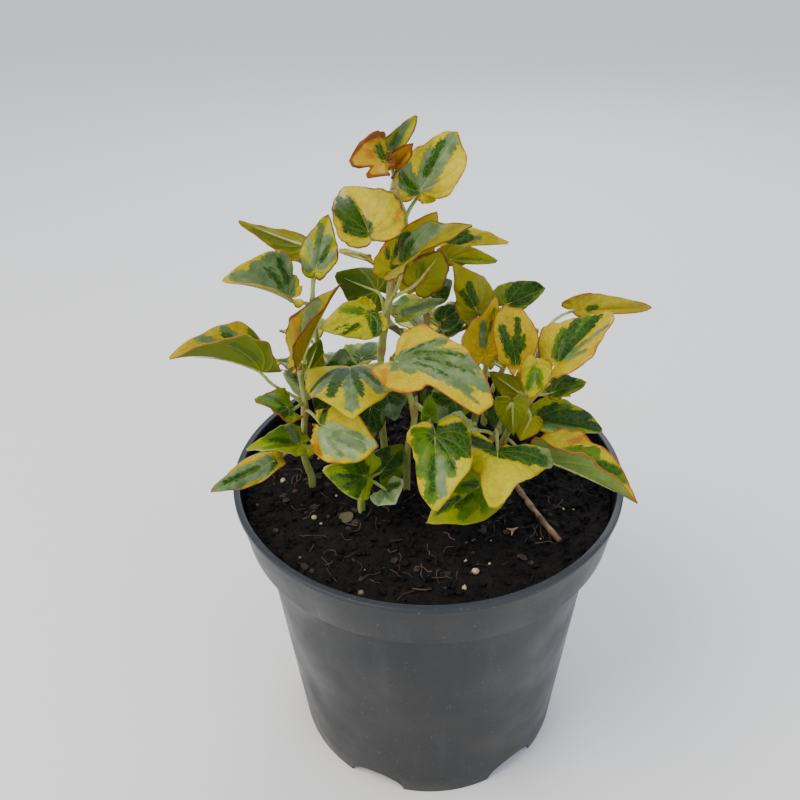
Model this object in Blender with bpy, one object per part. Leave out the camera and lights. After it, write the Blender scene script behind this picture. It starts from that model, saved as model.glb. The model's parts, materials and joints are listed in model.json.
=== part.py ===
"""A potted chameleon plant: a heart-leaved variegated herb in a black nursery pot, filled with compost.

Every length is in millimetres and every angle in degrees until MM turns it into metres. The origin is
the middle of the pot's base, +Z is up, and -Y is the side from which the plant looks its best.
"""

from math import cos, hypot, pi, radians, sin, tau
from typing import NamedTuple

import bmesh
import bpy
from mathutils import Matrix, Vector, noise

MM = 0.001
GAP = 0.35

# The pot: a tapered tub with a stepped collar, a bead round its lip and arches under its foot.
POT_HEIGHT = 147.0
LIP_RADIUS = 85.0
LIP_WIDTH = 2.9
LIP_DEPTH = 2.4
COLLAR_HEIGHT = 22.4
COLLAR_INSET = 0.9
COLLAR_FOOT_RADIUS = 81.3
SHOULDER_RADIUS = 75.2
BASE_RADIUS = 65.5
WALL = 1.4
FOOT_WALL = 2.4
FLOOR_BOTTOM = 10.5
FLOOR_TOP = 12.1
POT_SIDES = 48
ARCH_COUNT = 6
FIRST_ARCH = -52.0
ARCH_HEIGHT = 9.2
ARCH_WIDTH = 27.0
ARCH_SIDES = 16
DRAIN_RADIUS = 5.5
DRAIN_CIRCLE = 46.0
DRAIN_SIDES = 12

# The compost fills the pot to just under the lip and is heaped a little round the stems.
SOIL_EDGE = 136.3
SOIL_HEAP = 2.4
SOIL_LUMP = 1.0
SOIL_LUMP_SPACING = 17.0
SOIL_SIDES = 36
SOIL_RINGS = (0.22, 0.45, 0.67, 0.86, 1.0)

# A dead, dry stalk lies half sunk in the compost.
STALK_PATH = ((38, -2), (42, -14), (48, -28), (54, -40))
STALK_RADIUS = 1.3
STALK_LIFT = 0.6

# Stems and leaf stalks are round, and a stem stands in a plain hole in the compost. A leaf stalk leaves
# its stem upwards and reaches its blade from below and behind, seen in the blade's own axes.
ROOT_HEIGHT = 125.0
HOLE_HEIGHT = 124.6
STAND_HEIGHT = 143.0
STEM_FOOT_RADIUS = 1.7
STEM_TIP_RADIUS = 1.0
STEM_SIDES = 6
STEM_STEPS_PER_POINT = 2
PETIOLE_RADIUS = 0.75
PETIOLE_SIDES = 4
PETIOLE_STEPS = 3
PETIOLE_BEND = 0.38
PETIOLE_ARRIVAL = (0, 0.6, 0.8)

# A blade is a heart. Its half outline is (angle from the tip, share of the length), seen from the foot.
BLADE_THICKNESS = 0.8
OUTLINE = (
    (0, 1.00), (13, 0.80), (26, 0.675), (42, 0.59), (62, 0.53), (82, 0.49),
    (102, 0.455), (122, 0.41), (142, 0.345), (158, 0.265), (172, 0.15),
)
OUTLINE_HALF_WIDTH = 0.485
BLADE_ANGLES = (0, 16, 46, 82, 122, 164)
BLADE_REACHES = (0.55, 1.0)
BLADE_WAVES = 3.5


# Most blades look towards the front and a little up, and some show the front their underside.
FRONT = (0.0, -0.8, 0.6)
AWAY = (0.0, 0.8, -0.6)


class Leaf(NamedTuple):
    """A leaf: where on its stem it grows, where its blade starts and ends, and how the blade is bent."""

    node: float  # share of the stem's length at which the leaf stalk leaves it
    foot: tuple  # where the leaf stalk meets the blade
    tip: tuple
    faces: tuple  # the way the upper side looks
    width: float
    fold: float = 12  # how far each half is raised about the midrib
    cup: float = 0  # how much further the margin is raised, or lowered where it is below 0
    arch: float = 30  # how far the midrib turns down from the foot to the tip
    twist: float = 0  # how far the tip is turned about the midrib
    wave: float = 0.9  # height of the margin's waves


class Stem(NamedTuple):
    """A leafy stem: its way from the compost to its top, and its leaves."""

    path: tuple
    leaves: tuple


STEMS = {
    "stem_crown": Stem(
        path=(
            (-19, 10), (-20, 9, 168), (-19, 6, 198), (-15, 2, 225),
            (-11, 0, 247), (-8, 3, 259), (-12, 1, 271),
        ),
        leaves=(
            Leaf(0.99, (-14, -12, 285), (-27, -16, 286), FRONT, 18, 20, 0, 70, 0, 1.6),
            Leaf(1.00, (-10, -5, 281), (-4, -9, 290), FRONT, 10, 36, 20, 0, 0, 0.9),
            Leaf(0.97, (-13, 12, 280), (-3, 14, 294), FRONT, 11, 30, 0, 20, 50, 0.9),
            Leaf(0.88, (-2, 5, 269), (11, 10, 289), FRONT, 22, 4, 0, 20, 0, 1.6),
            Leaf(0.86, (-20, -18, 262), (-29, -2, 274), (0.3, -0.6, 0.8), 29, 24, 0, 20, 0, 0.9),
            Leaf(0.72, (-20, 4, 241), (-33, -3, 250), (0.5, 0.0, 0.8), 13, 10, 0, 20, 0, 0.6),
            Leaf(0.68, (-10, -5, 242), (4, -1, 263), FRONT, 21, 12, 0, 24, 0, 1),
            Leaf(0.45, (-8, -19, 251), (16, -20, 266), (-0.5, -0.5, 0.8), 19, 35, 0, 20, 0, 0.9),
            Leaf(0.58, (-3, -11, 240), (6, -10, 252), AWAY, 15, 10, 0, 24, 0, 0.9),
            Leaf(0.55, (-20, 8, 227), (-37, 12, 233), AWAY, 20, 12, 0, 24, 0, 0.9),
            Leaf(0.50, (-22, -7, 225), (-41, -12, 221), FRONT, 21, 18, 0, 24, 0, 0.9),
            Leaf(0.36, (-17, -3, 186), (-13, -15, 180), (0.1, -0.5, 0.9), 18, 12),
            Leaf(0.62, (-12, 18, 227), (-20, 38, 220), (0.0, 0.3, 1.0), 18, 12, 0, 36),
        ),
    ),
    "stem_centre_left": Stem(
        path=((-31, 12), (-35, 10, 163), (-41, 6, 183), (-44, 1, 206), (-44, -3, 229)),
        leaves=(
            Leaf(1.00, (-42, -2, 241), (-37, 10, 258), FRONT, 17, 14, 0, 16, 0, 0.9),
            Leaf(0.94, (-52, -11, 234), (-74, -18, 246), (0.5, -0.3, 0.8), 31, 42, 0, 20, 0, 1),
            Leaf(0.98, (-48, 14, 244), (-74, 18, 254), (0.0, 0.6, -0.8), 13, 30, 0, 24, 0, 0.9),
            Leaf(0.45, (-48, -8, 199), (-42, -7, 214), AWAY, 10, 16, 0, 20, 0, 0.7),
            Leaf(0.62, (-50, 15, 204), (-60, 34, 196), (-0.2, 0.3, 1.0), 22, 14, 0, 34),
        ),
    ),
    "stem_left": Stem(
        path=((-51, -5), (-53, -8, 160), (-50, -10, 183), (-50, -13, 204)),
        leaves=(
            Leaf(1.00, (-46, -27, 217), (-31, -26, 247), (-0.8, -0.4, 0.4), 18, 50, 0, 10, 0, 0.9),
            Leaf(0.62, (-64, -18, 206), (-97, -30, 220), (0.3, 0.3, 1.0), 34, 54, 0, 14, 0, 1),
            Leaf(0.66, (-54, -24, 193), (-66, -31, 200), (0.5, 0.0, 0.8), 17, 30, 0, 24, 0, 0.8),
            Leaf(0.45, (-53, -18, 171), (-72, -30, 177), (0.4, -0.2, 0.9), 15, 25, 0, 30, 0, 0.9),
            Leaf(0.30, (-62, -24, 167), (-86, -36, 160), (0.0, -0.7, 0.7), 14, -8, 0, 34, 0, 1.5),
            Leaf(0.60, (-41, -26, 186), (-18, -40, 186), FRONT, 28, 6, 0, 20, 0, 1.4),
            Leaf(0.70, (-49, 1, 188), (-60, 0, 195), FRONT, 14, 14, 0, 24, 0, 0.7),
        ),
    ),
    "stem_middle_left": Stem(
        path=((-34, -4), (-35, -5, 167), (-33, -8, 187), (-31, -9, 199)),
        leaves=(
            Leaf(1.00, (-30, -14, 205), (-27, -42, 205), (0.0, 0.0, 1.0), 36, 8, -20, 40, 0, 1.4),
            Leaf(0.85, (-35, -3, 193), (-34, 1, 206), FRONT, 17, 12, 0, 20, 0, 0.9),
        ),
    ),
    "stem_front_left": Stem(
        path=((-28, -22), (-27, -23, 150), (-24, -24, 157)),
        leaves=(
            Leaf(1.00, (-25, -30, 164), (-41, -38, 174), FRONT, 20, 12, 0, 24, 0, 0.9),
            Leaf(0.80, (-19, -17, 156), (-10, -10, 165), FRONT, 17, 14, 0, 24, 0, 0.8),
            Leaf(0.90, (-17, -28, 155), (-13, -36, 155), (-0.4, -0.4, 0.9), 13, 8, 0, 24, 0, 0.5),
        ),
    ),
    "stem_front": Stem(
        path=((-9, -8), (-8, -12, 165), (-5, -19, 185), (-8, -25, 206)),
        leaves=(
            Leaf(1.00, (-11, -28, 216), (19, -50, 206), (0.0, -0.4, 0.9), 34, 12, 0, 66, 0, 1),
            Leaf(0.70, (3, -42, 192), (3, -62, 172), FRONT, 27, 5, 0, 26, 0, 0.9),
            Leaf(0.76, (1, -33, 195), (1, -33, 203), FRONT, 7, 24, 0, 10, 0, 0.5),
        ),
    ),
    "stem_front_right": Stem(
        path=((21, -6), (23, -11, 160), (29, -17, 177)),
        leaves=(
            Leaf(0.92, (27, -36, 180), (24, -58, 170), (0.0, -0.4, 0.9), 42, 2, -8, 34, 0, 1.4),
            Leaf(1.00, (33, -22, 193), (34, -25, 180), AWAY, 14, 20, 0, 10, 0, 0.7),
            Leaf(0.50, (22, -32, 161), (0, -48, 155), (0.3, -0.6, 0.8), 24, 10, 0, 30, 0, 0.9),
            Leaf(0.85, (17, -18, 180), (4, -24, 187), (0.5, 0.0, 0.9), 11, 10, 0, 20, 0, 0.6),
        ),
    ),
    "stem_right": Stem(
        path=((31, 2), (32, -2, 157), (35, -8, 173), (41, -11, 187), (48, -12, 197)),
        leaves=(
            Leaf(0.30, (50, -26, 168), (82, -42, 160), (0.3, 0.2, 0.9), 29, 52, 0, 10, 0, 1),
            Leaf(0.65, (46, 0, 170), (75, 1, 163), (0.2, -0.4, 0.9), 24, 28, 0, 34, 0, 0.9),
            Leaf(0.88, (41, -23, 211), (39, -26, 198), FRONT, 13, 24, 0, 16, 0, 0.7),
            Leaf(1.00, (51, -11, 205), (74, 3, 219), (-0.3, -0.3, 0.9), 27, 28, 0, 20, 0, 1.2),
            Leaf(0.74, (64, 18, 213), (97, 36, 205), (0.5, -0.8, 0.4), 19, 12, 0, 34, 0, 1.2),
            Leaf(0.80, (51, -6, 188), (65, -2, 190), (0.0, -0.7, 0.7), 16, 14, 0, 24, 0, 0.9),
            Leaf(0.72, (41, -18, 183), (37, -23, 176), AWAY, 12, 12, 0, 20, 0, 0.7),
        ),
    ),
    "stem_right_back": Stem(
        path=((20, 16), (22, 13, 167), (25, 10, 190), (24, 9, 210)),
        leaves=(
            Leaf(0.80, (35, -12, 204), (30, -4, 227), FRONT, 18, 10, 0, 24, 0, 0.9),
            Leaf(0.82, (23, -6, 206), (27, 0, 229), FRONT, 15, 14, 0, 24, 0, 0.9),
            Leaf(1.00, (20, 4, 220), (9, -2, 244), (0.5, -0.9, 0.0), 18, -8, 0, 20, 0, 0.9),
            Leaf(0.90, (34, 24, 213), (50, 30, 217), FRONT, 16, 12, 0, 24, 0, 1.2),
            Leaf(0.62, (39, -3, 185), (26, -3, 196), AWAY, 12, 14, 0, 24, 0, 0.7),
            Leaf(0.34, (12, 4, 178), (2, -7, 174), (0.0, -0.5, 0.9), 20, 12),
            Leaf(0.50, (16, 0, 189), (9, -11, 190), (0.1, -0.7, 0.7), 16, 12),
            Leaf(0.86, (34, 16, 202), (46, 34, 195), (0.1, 0.3, 1.0), 24, 14, 0, 34),
        ),
    ),
    "stem_back_centre": Stem(
        path=((0, 30), (0, 27, 168), (0, 21, 197), (0, 17, 222), (2, 13, 234)),
        leaves=(
            Leaf(1.00, (8, 22, 240), (33, 22, 240), (0.0, -0.6, 0.8), 16, 14, 0, 30, 0, 0.9),
            Leaf(0.85, (9, 9, 240), (28, 6, 240), FRONT, 12, 10, 0, 30, 0, 0.7),
            Leaf(0.80, (-9, 9, 217), (8, 11, 222), FRONT, 8, 10, 0, 24, 0, 0.6),
            Leaf(0.75, (7, 12, 212), (16, 14, 218), FRONT, 11, 12, 0, 24, 0, 0.6),
            Leaf(0.70, (9, 19, 204), (17, 22, 207), FRONT, 8, 12, 0, 24, 0, 0.6),
            Leaf(0.85, (3, 26, 217), (11, 31, 221), FRONT, 12, 12, 0, 24, 0, 0.9),
            Leaf(0.45, (-6, 19, 187), (-14, 6, 182), (0.0, -0.5, 0.9), 20, 12),
            Leaf(0.88, (6, 25, 230), (14, 45, 221), (0.0, 0.3, 1.0), 22, 14, 0, 36),
            Leaf(0.60, (-8, 30, 206), (-24, 44, 202), (-0.1, 0.3, 1.0), 24, 14, 0, 34),
            Leaf(0.55, (9, 30, 203), (26, 42, 200), (0.1, 0.3, 1.0), 24, 14, 0, 34),
        ),
    ),
    "stem_back_left": Stem(
        path=((-36, 34), (-38, 37, 155), (-44, 41, 170)),
        leaves=(
            Leaf(1.00, (-54, 41, 173), (-78, 44, 170), (0.0, 0.2, 1.0), 24, 14, 0, 34),
            Leaf(0.95, (-44, 55, 165), (-48, 79, 158), (0.0, 0.3, 1.0), 24, 12, 0, 36),
            Leaf(0.90, (-31, 46, 174), (-22, 66, 171), (0.1, 0.3, 1.0), 20, 12, 0, 36),
        ),
    ),
    "stem_back": Stem(
        path=((-6, 50), (-6, 53, 160), (-4, 56, 178)),
        leaves=(
            Leaf(1.00, (-3, 65, 181), (0, 86, 174), (0.0, 0.2, 1.0), 26, 12, 0, 40),
            Leaf(0.95, (-13, 51, 185), (-32, 52, 192), (0.0, 0.3, 1.0), 20, 12),
            Leaf(0.90, (7, 51, 181), (24, 52, 187), (0.0, 0.3, 1.0), 20, 12),
        ),
    ),
    "stem_back_right": Stem(
        path=((28, 42), (31, 45, 155), (37, 48, 168)),
        leaves=(
            Leaf(1.00, (47, 51, 172), (66, 60, 160), (0.1, 0.2, 1.0), 24, 12, 0, 36),
            Leaf(0.90, (33, 59, 165), (28, 81, 158), (0.0, 0.3, 1.0), 22, 12, 0, 36),
            Leaf(0.80, (46, 38, 164), (66, 32, 160), (0.0, 0.0, 1.0), 20, 12, 0, 30),
        ),
    ),
}

POT_BLACK = ("pot_black", (0.018, 0.020, 0.023), 0.45)
COMPOST = ("compost", (0.016, 0.012, 0.010), 0.95)
DEAD_STALK = ("dry_stalk", (0.28, 0.19, 0.11), 0.85)
LEAF_GREEN = ("leaf_green", (0.36, 0.38, 0.07), 0.50)


def smooth_path(points, steps):
    """A smooth line through the points, with so many steps from one point to the next."""
    points = [Vector(point) for point in points]
    points = [2 * points[0] - points[1], *points, 2 * points[-1] - points[-2]]
    line = []
    for before, start, end, after in zip(points, points[1:], points[2:], points[3:]):
        for step in range(steps):
            t = step / steps
            line.append(
                0.5 * (2 * start + (end - before) * t + (2 * before - 5 * start + 4 * end - after) * t**2
                       + (3 * start - before - 3 * end + after) * t**3)
            )
    return [*line, points[-2]]


def point_along(line, share):
    """The point at a share of the line's length."""
    lengths = [(end - start).length for start, end in zip(line, line[1:])]
    rest = share * sum(lengths)
    for start, end, length in zip(line, line[1:], lengths):
        if rest <= length:
            return start.lerp(end, rest / length)
        rest -= length
    return line[-1]


def soil_height(x, y):
    """The compost's surface, heaped towards the middle, with lumps."""
    share = hypot(x, y) / COLLAR_FOOT_RADIUS
    lumps = noise.noise(Vector((x, y, 0)) / SOIL_LUMP_SPACING) * (1 - share**4)
    return SOIL_EDGE + SOIL_HEAP * (1 - share**2) + SOIL_LUMP * lumps


def outline_reach(angle):
    """How far the heart's outline lies from its foot, as a share of the blade's length."""
    angle = abs(angle)
    for (low, near), (high, far) in zip(OUTLINE, OUTLINE[1:]):
        if angle <= high:
            return near + (far - near) * (angle - low) / (high - low)
    return OUTLINE[-1][1]


class Blade:
    """The bent surface of a leaf's blade."""

    def __init__(self, leaf):
        self.leaf = leaf
        self.foot = Vector(leaf.foot)
        chord = Vector(leaf.tip) - self.foot
        ahead = chord.normalized()
        facing = Vector(leaf.faces)
        up = (facing - facing.dot(ahead) * ahead).normalized()
        self.axes = Matrix((ahead.cross(up), ahead, up)).transposed()
        half_arch = radians(leaf.arch) / 2
        self.length = chord.length * (half_arch / sin(half_arch) if half_arch else 1)
        self.half_width = leaf.width / 2

    def midrib(self, along):
        """The midrib's point and slope at a length along it, in the plane of the chord and the face."""
        arch = radians(self.leaf.arch)
        share = along / self.length
        slope = arch / 2 - arch * share if share > 0 else arch / 2
        if not arch or share <= 0:
            return Vector((0, along * cos(slope), along * sin(slope))), slope
        bend = self.length / arch
        return Vector((0, bend * (sin(arch / 2) - sin(slope)), bend * (cos(slope) - cos(arch / 2)))), slope

    def point(self, angle, reach):
        """The point of the blade at an angle from the tip, at a share of the way out to the margin."""
        leaf = self.leaf
        radius = outline_reach(angle) * reach
        along = radius * cos(radians(angle)) * self.length
        across = radius * sin(radians(angle)) / OUTLINE_HALF_WIDTH * self.half_width
        spot, slope = self.midrib(along)
        rise = radians(leaf.fold + leaf.cup * abs(across) / self.half_width)
        roll = radians(leaf.twist) * max(0, along / self.length)
        wave = leaf.wave * reach**3 * sin(BLADE_WAVES * radians(angle) + self.foot.x)
        out = Vector((across * cos(rise), 0, abs(across) * sin(rise) + wave))
        out = Matrix.Rotation(roll, 3, "Y") @ out
        out = Matrix.Rotation(slope, 3, "X") @ out
        return self.foot + self.axes @ (spot + out)


def make_object(name, mesh_data):
    mesh = bpy.data.meshes.new(name)
    mesh_data.to_mesh(mesh)
    mesh_data.free()
    made = bpy.data.objects.new(name, mesh)
    bpy.context.scene.collection.objects.link(made)
    return made


def make_tube(name, line, radii, sides):
    """A round rod along the line, with closed ends. The line is in millimetres."""
    shape = bmesh.new()
    side = Vector((0, 1, 0))
    last = len(line) - 1
    rings = []
    for step, (place, radius) in enumerate(zip(line, radii)):
        ahead = (line[min(step + 1, last)] - line[max(step - 1, 0)]).normalized()
        side = (side - side.dot(ahead) * ahead).normalized()
        across = ahead.cross(side)
        turns = [tau * index / sides for index in range(sides)]
        rings.append([
            shape.verts.new((place + radius * (cos(turn) * side + sin(turn) * across)) * MM) for turn in turns
        ])
    for lower, upper in zip(rings, rings[1:]):
        for index in range(sides):
            after = (index + 1) % sides
            shape.faces.new((lower[index], lower[after], upper[after], upper[index]))
    shape.faces.new(reversed(rings[0]))
    shape.faces.new(rings[-1])
    return make_object(name, shape)


def make_blade(name, leaf):
    """A waved, folded heart, split into triangles before it is thickened, so both faces split alike."""
    blade = Blade(leaf)
    angles = [-angle for angle in reversed(BLADE_ANGLES[1:])] + list(BLADE_ANGLES)
    shape = bmesh.new()
    foot = shape.verts.new(blade.foot * MM)
    rings = [[shape.verts.new(blade.point(angle, reach) * MM) for angle in angles] for reach in BLADE_REACHES]
    for index in range(len(angles) - 1):
        shape.faces.new((foot, rings[0][index + 1], rings[0][index]))
        for inner, outer in zip(rings, rings[1:]):
            shape.faces.new((inner[index], inner[index + 1], outer[index]))
            shape.faces.new((inner[index + 1], outer[index + 1], outer[index]))
    made = make_object(name, shape)
    thicken = made.modifiers.new("thicken", "SOLIDIFY")
    thicken.thickness = BLADE_THICKNESS * MM
    thicken.offset = 0
    return made


def make_petiole(name, leaf, stem_line):
    """A leaf's own stalk, which leaves the stem slanting up and comes to the blade from behind."""
    start = point_along(stem_line, leaf.node)
    blade = Blade(leaf)
    reach = (blade.foot - start).length * PETIOLE_BEND
    rise = Vector((0, 0, reach))
    arrive = blade.axes @ Vector(PETIOLE_ARRIVAL) * reach
    controls = (start, start + rise, blade.foot - arrive, blade.foot)
    line = []
    for step in range(PETIOLE_STEPS + 1):
        t = step / PETIOLE_STEPS
        weights = ((1 - t) ** 3, 3 * t * (1 - t) ** 2, 3 * t**2 * (1 - t), t**3)
        line.append(sum((weight * control for weight, control in zip(weights, controls)), Vector()))
    return make_tube(name, line, [PETIOLE_RADIUS] * len(line), PETIOLE_SIDES)


def stem_line(stem):
    (x, y), *above = stem.path
    return smooth_path([(x, y, STAND_HEIGHT), *above], STEM_STEPS_PER_POINT)


def make_material(kind):
    name, colour, roughness = kind
    material = bpy.data.materials.new(name)
    material.use_nodes = True
    shader = material.node_tree.nodes["Principled BSDF"]
    shader.inputs["Base Color"].default_value = (*colour, 1)
    shader.inputs["Roughness"].default_value = roughness
    shader.inputs["Metallic"].default_value = 0
    return material


def finish(made, kind, sharp_angle=40):
    made.data.materials.clear()
    made.data.materials.append(make_material(kind))
    made.data.shade_smooth()
    made.data.set_sharp_from_angle(angle=radians(sharp_angle))


def join(target, pieces, operation):
    """Join the pieces with the target, or cut them from it, in one Boolean, and remove them."""
    group = bpy.data.collections.new("pieces")
    for piece in pieces:
        group.objects.link(piece)
    boolean = target.modifiers.new("join", "BOOLEAN")
    boolean.operation = operation
    boolean.operand_type = "COLLECTION"
    boolean.collection = group
    graph = bpy.context.evaluated_depsgraph_get()
    mesh = bpy.data.meshes.new_from_object(target.evaluated_get(graph))
    target.modifiers.clear()
    target.data = mesh
    for piece in pieces:
        bpy.data.objects.remove(piece)
    bpy.data.collections.remove(group)


def keep_outer_shell(made):
    """Fill the tiny hollows that joining sealed and drop loose scraps: only the largest shell stays."""
    shape = bmesh.new()
    shape.from_mesh(made.data)
    waiting = set(shape.verts)
    shells = []
    while waiting:
        shell = {waiting.pop()}
        edge_of_shell = list(shell)
        while edge_of_shell:
            vert = edge_of_shell.pop()
            near = {edge.other_vert(vert) for edge in vert.link_edges} & waiting
            waiting -= near
            shell |= near
            edge_of_shell.extend(near)
        shells.append(shell)
    outer = max(shells, key=len)
    bmesh.ops.delete(shape, geom=[vert for vert in shape.verts if vert not in outer], context="VERTS")
    shape.to_mesh(made.data)
    shape.free()


def make_leafy_stem(name, stem):
    (x, y), *_ = stem.path
    line = stem_line(stem)
    rooted = [Vector((x, y, ROOT_HEIGHT)), *line]
    last = len(rooted) - 1
    taper = (STEM_FOOT_RADIUS - STEM_TIP_RADIUS) / last
    radii = [STEM_FOOT_RADIUS - taper * step for step in range(last + 1)]
    made = make_tube(name, rooted, radii, STEM_SIDES)
    pieces = []
    for index, leaf in enumerate(stem.leaves):
        pieces.append(make_petiole(f"petiole_{index}", leaf, line))
        pieces.append(make_blade(f"blade_{index}", leaf))
    join(made, pieces, "UNION")
    keep_outer_shell(made)
    finish(made, LEAF_GREEN)
    return made


def spin_profile(name, profile, sides):
    """Turn a closed profile of (radius, height) about the upright axis."""
    shape = bmesh.new()
    verts = [shape.verts.new((radius * MM, 0, height * MM)) for radius, height in profile]
    edges = [shape.edges.new((verts[index - 1], verts[index])) for index in range(len(verts))]
    bmesh.ops.spin(
        shape, geom=verts + edges, cent=(0, 0, 0), axis=(0, 0, 1), angle=tau, steps=sides, use_merge=True,
    )
    bmesh.ops.recalc_face_normals(shape, faces=shape.faces)
    return make_object(name, shape)


def make_pot():
    step = POT_HEIGHT - COLLAR_HEIGHT
    slope = (SHOULDER_RADIUS - BASE_RADIUS) / step
    lip_foot = POT_HEIGHT - LIP_DEPTH
    collar_top_radius = LIP_RADIUS - COLLAR_INSET
    bead = LIP_DEPTH / 3
    inner_floor = BASE_RADIUS + slope * FLOOR_TOP - WALL
    foot_inner = BASE_RADIUS - FOOT_WALL
    profile = (
        (BASE_RADIUS, 0), (SHOULDER_RADIUS, step), (COLLAR_FOOT_RADIUS, step), (collar_top_radius, lip_foot),
        (LIP_RADIUS, lip_foot + bead), (LIP_RADIUS, POT_HEIGHT - bead), (LIP_RADIUS - bead, POT_HEIGHT),
        (LIP_RADIUS - LIP_WIDTH + bead, POT_HEIGHT), (LIP_RADIUS - LIP_WIDTH, POT_HEIGHT - bead),
        (LIP_RADIUS - LIP_WIDTH, lip_foot), (COLLAR_FOOT_RADIUS - WALL, step + WALL),
        (SHOULDER_RADIUS - WALL, step + WALL), (inner_floor, FLOOR_TOP), (DRAIN_RADIUS, FLOOR_TOP),
        (DRAIN_RADIUS, FLOOR_BOTTOM), (foot_inner, FLOOR_BOTTOM), (foot_inner, 0),
    )
    pot = spin_profile("pot", profile, POT_SIDES)
    cutters = []
    for index in range(ARCH_COUNT):
        turn = radians(FIRST_ARCH + 360 / ARCH_COUNT * index)
        arch = bmesh.new()
        bmesh.ops.create_cone(
            arch, cap_ends=True, segments=ARCH_SIDES, radius1=1, radius2=1, depth=1,
            matrix=Matrix.Rotation(turn, 4, "Z") @ Matrix.Translation((BASE_RADIUS * MM, 0, 0))
            @ Matrix.Diagonal((4 * FOOT_WALL * MM, ARCH_WIDTH / 2 * MM, ARCH_HEIGHT * MM, 1))
            @ Matrix.Rotation(pi / 2, 4, "Y"),
        )
        cutters.append(make_object("arch", arch))
        drain = bmesh.new()
        place = (DRAIN_CIRCLE * cos(turn) * MM, DRAIN_CIRCLE * sin(turn) * MM, FLOOR_TOP * MM)
        bmesh.ops.create_cone(
            drain, cap_ends=True, segments=DRAIN_SIDES, radius1=DRAIN_RADIUS * MM, radius2=DRAIN_RADIUS * MM,
            depth=4 * WALL * MM, matrix=Matrix.Translation(place),
        )
        cutters.append(make_object("drain", drain))
    join(pot, cutters, "DIFFERENCE")
    finish(pot, POT_BLACK)


def make_soil():
    """The root ball and compost, which follow the pot's inside with a hair's gap."""
    step = POT_HEIGHT - COLLAR_HEIGHT + WALL
    inside = WALL + GAP
    slope = (SHOULDER_RADIUS - BASE_RADIUS) / (POT_HEIGHT - COLLAR_HEIGHT)
    floor_radius = BASE_RADIUS + slope * FLOOR_TOP - inside
    collar_slope = (LIP_RADIUS - LIP_WIDTH - COLLAR_FOOT_RADIUS + WALL) / (COLLAR_HEIGHT - LIP_DEPTH)
    edge_radius = COLLAR_FOOT_RADIUS - inside + collar_slope * (SOIL_EDGE - step)
    wall_profile = (
        (edge_radius, SOIL_EDGE), (COLLAR_FOOT_RADIUS - inside, step + GAP),
        (SHOULDER_RADIUS - inside, step + GAP), (floor_radius, FLOOR_TOP + GAP),
    )
    shape = bmesh.new()
    turns = [tau * index / SOIL_SIDES for index in range(SOIL_SIDES)]
    top = shape.verts.new((0, 0, soil_height(0, 0) * MM))
    rings = []
    for share in SOIL_RINGS:
        ring = []
        for turn in turns:
            x = share * edge_radius * cos(turn)
            y = share * edge_radius * sin(turn)
            height = SOIL_EDGE if share == 1 else soil_height(x, y)
            ring.append(shape.verts.new((x * MM, y * MM, height * MM)))
        rings.append(ring)
    for radius, height in wall_profile[1:]:
        places = [(radius * cos(turn) * MM, radius * sin(turn) * MM, height * MM) for turn in turns]
        rings.append([shape.verts.new(place) for place in places])
    for index in range(SOIL_SIDES):
        after = (index + 1) % SOIL_SIDES
        shape.faces.new((top, rings[0][index], rings[0][after]))
        for inner, outer in zip(rings, rings[1:]):
            shape.faces.new((inner[index], outer[index], outer[after], inner[after]))
    shape.faces.new(reversed(rings[-1]))
    bmesh.ops.triangulate(shape, faces=[face for face in shape.faces if len(face.verts) == 4])
    soil = make_object("soil", shape)
    cutters = [make_tube("groove", stalk_line(), [STALK_RADIUS + GAP] * len(stalk_line()), STEM_SIDES)]
    for stem in STEMS.values():
        (x, y), *_ = stem.path
        hole = bmesh.new()
        depth = STAND_HEIGHT - HOLE_HEIGHT
        bmesh.ops.create_cone(
            hole, cap_ends=True, segments=STEM_SIDES, radius1=(STEM_FOOT_RADIUS + 2 * GAP) * MM,
            radius2=(STEM_FOOT_RADIUS + 2 * GAP) * MM, depth=depth * MM,
            matrix=Matrix.Translation((x * MM, y * MM, (HOLE_HEIGHT + depth / 2) * MM)),
        )
        cutters.append(make_object("hole", hole))
    join(soil, cutters, "DIFFERENCE")
    finish(soil, COMPOST)


def stalk_line():
    places = [(x, y, soil_height(x, y) + STALK_LIFT) for x, y in STALK_PATH]
    return smooth_path(places, 3)


def make_dead_stalk():
    line = stalk_line()
    stalk = make_tube("dead_stalk", line, [STALK_RADIUS] * len(line), STEM_SIDES)
    finish(stalk, DEAD_STALK)


def main():
    for old in list(bpy.data.objects):
        bpy.data.objects.remove(old)
    make_pot()
    make_soil()
    make_dead_stalk()
    for name, stem in STEMS.items():
        make_leafy_stem(name, stem)


if __name__ == "__main__":
    main()
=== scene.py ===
"""The looks of a potted chameleon plant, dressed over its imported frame.

Lengths are in millimetres and angles in degrees until MM and radians turn them, colours are sRGB hex.
"""

import json
from functools import lru_cache
from math import asin, cos, exp, hypot, pi, radians, sin, tau
from random import Random
from typing import NamedTuple

import bmesh
import bpy
from mathutils import Euler, Matrix, Vector, noise

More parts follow.
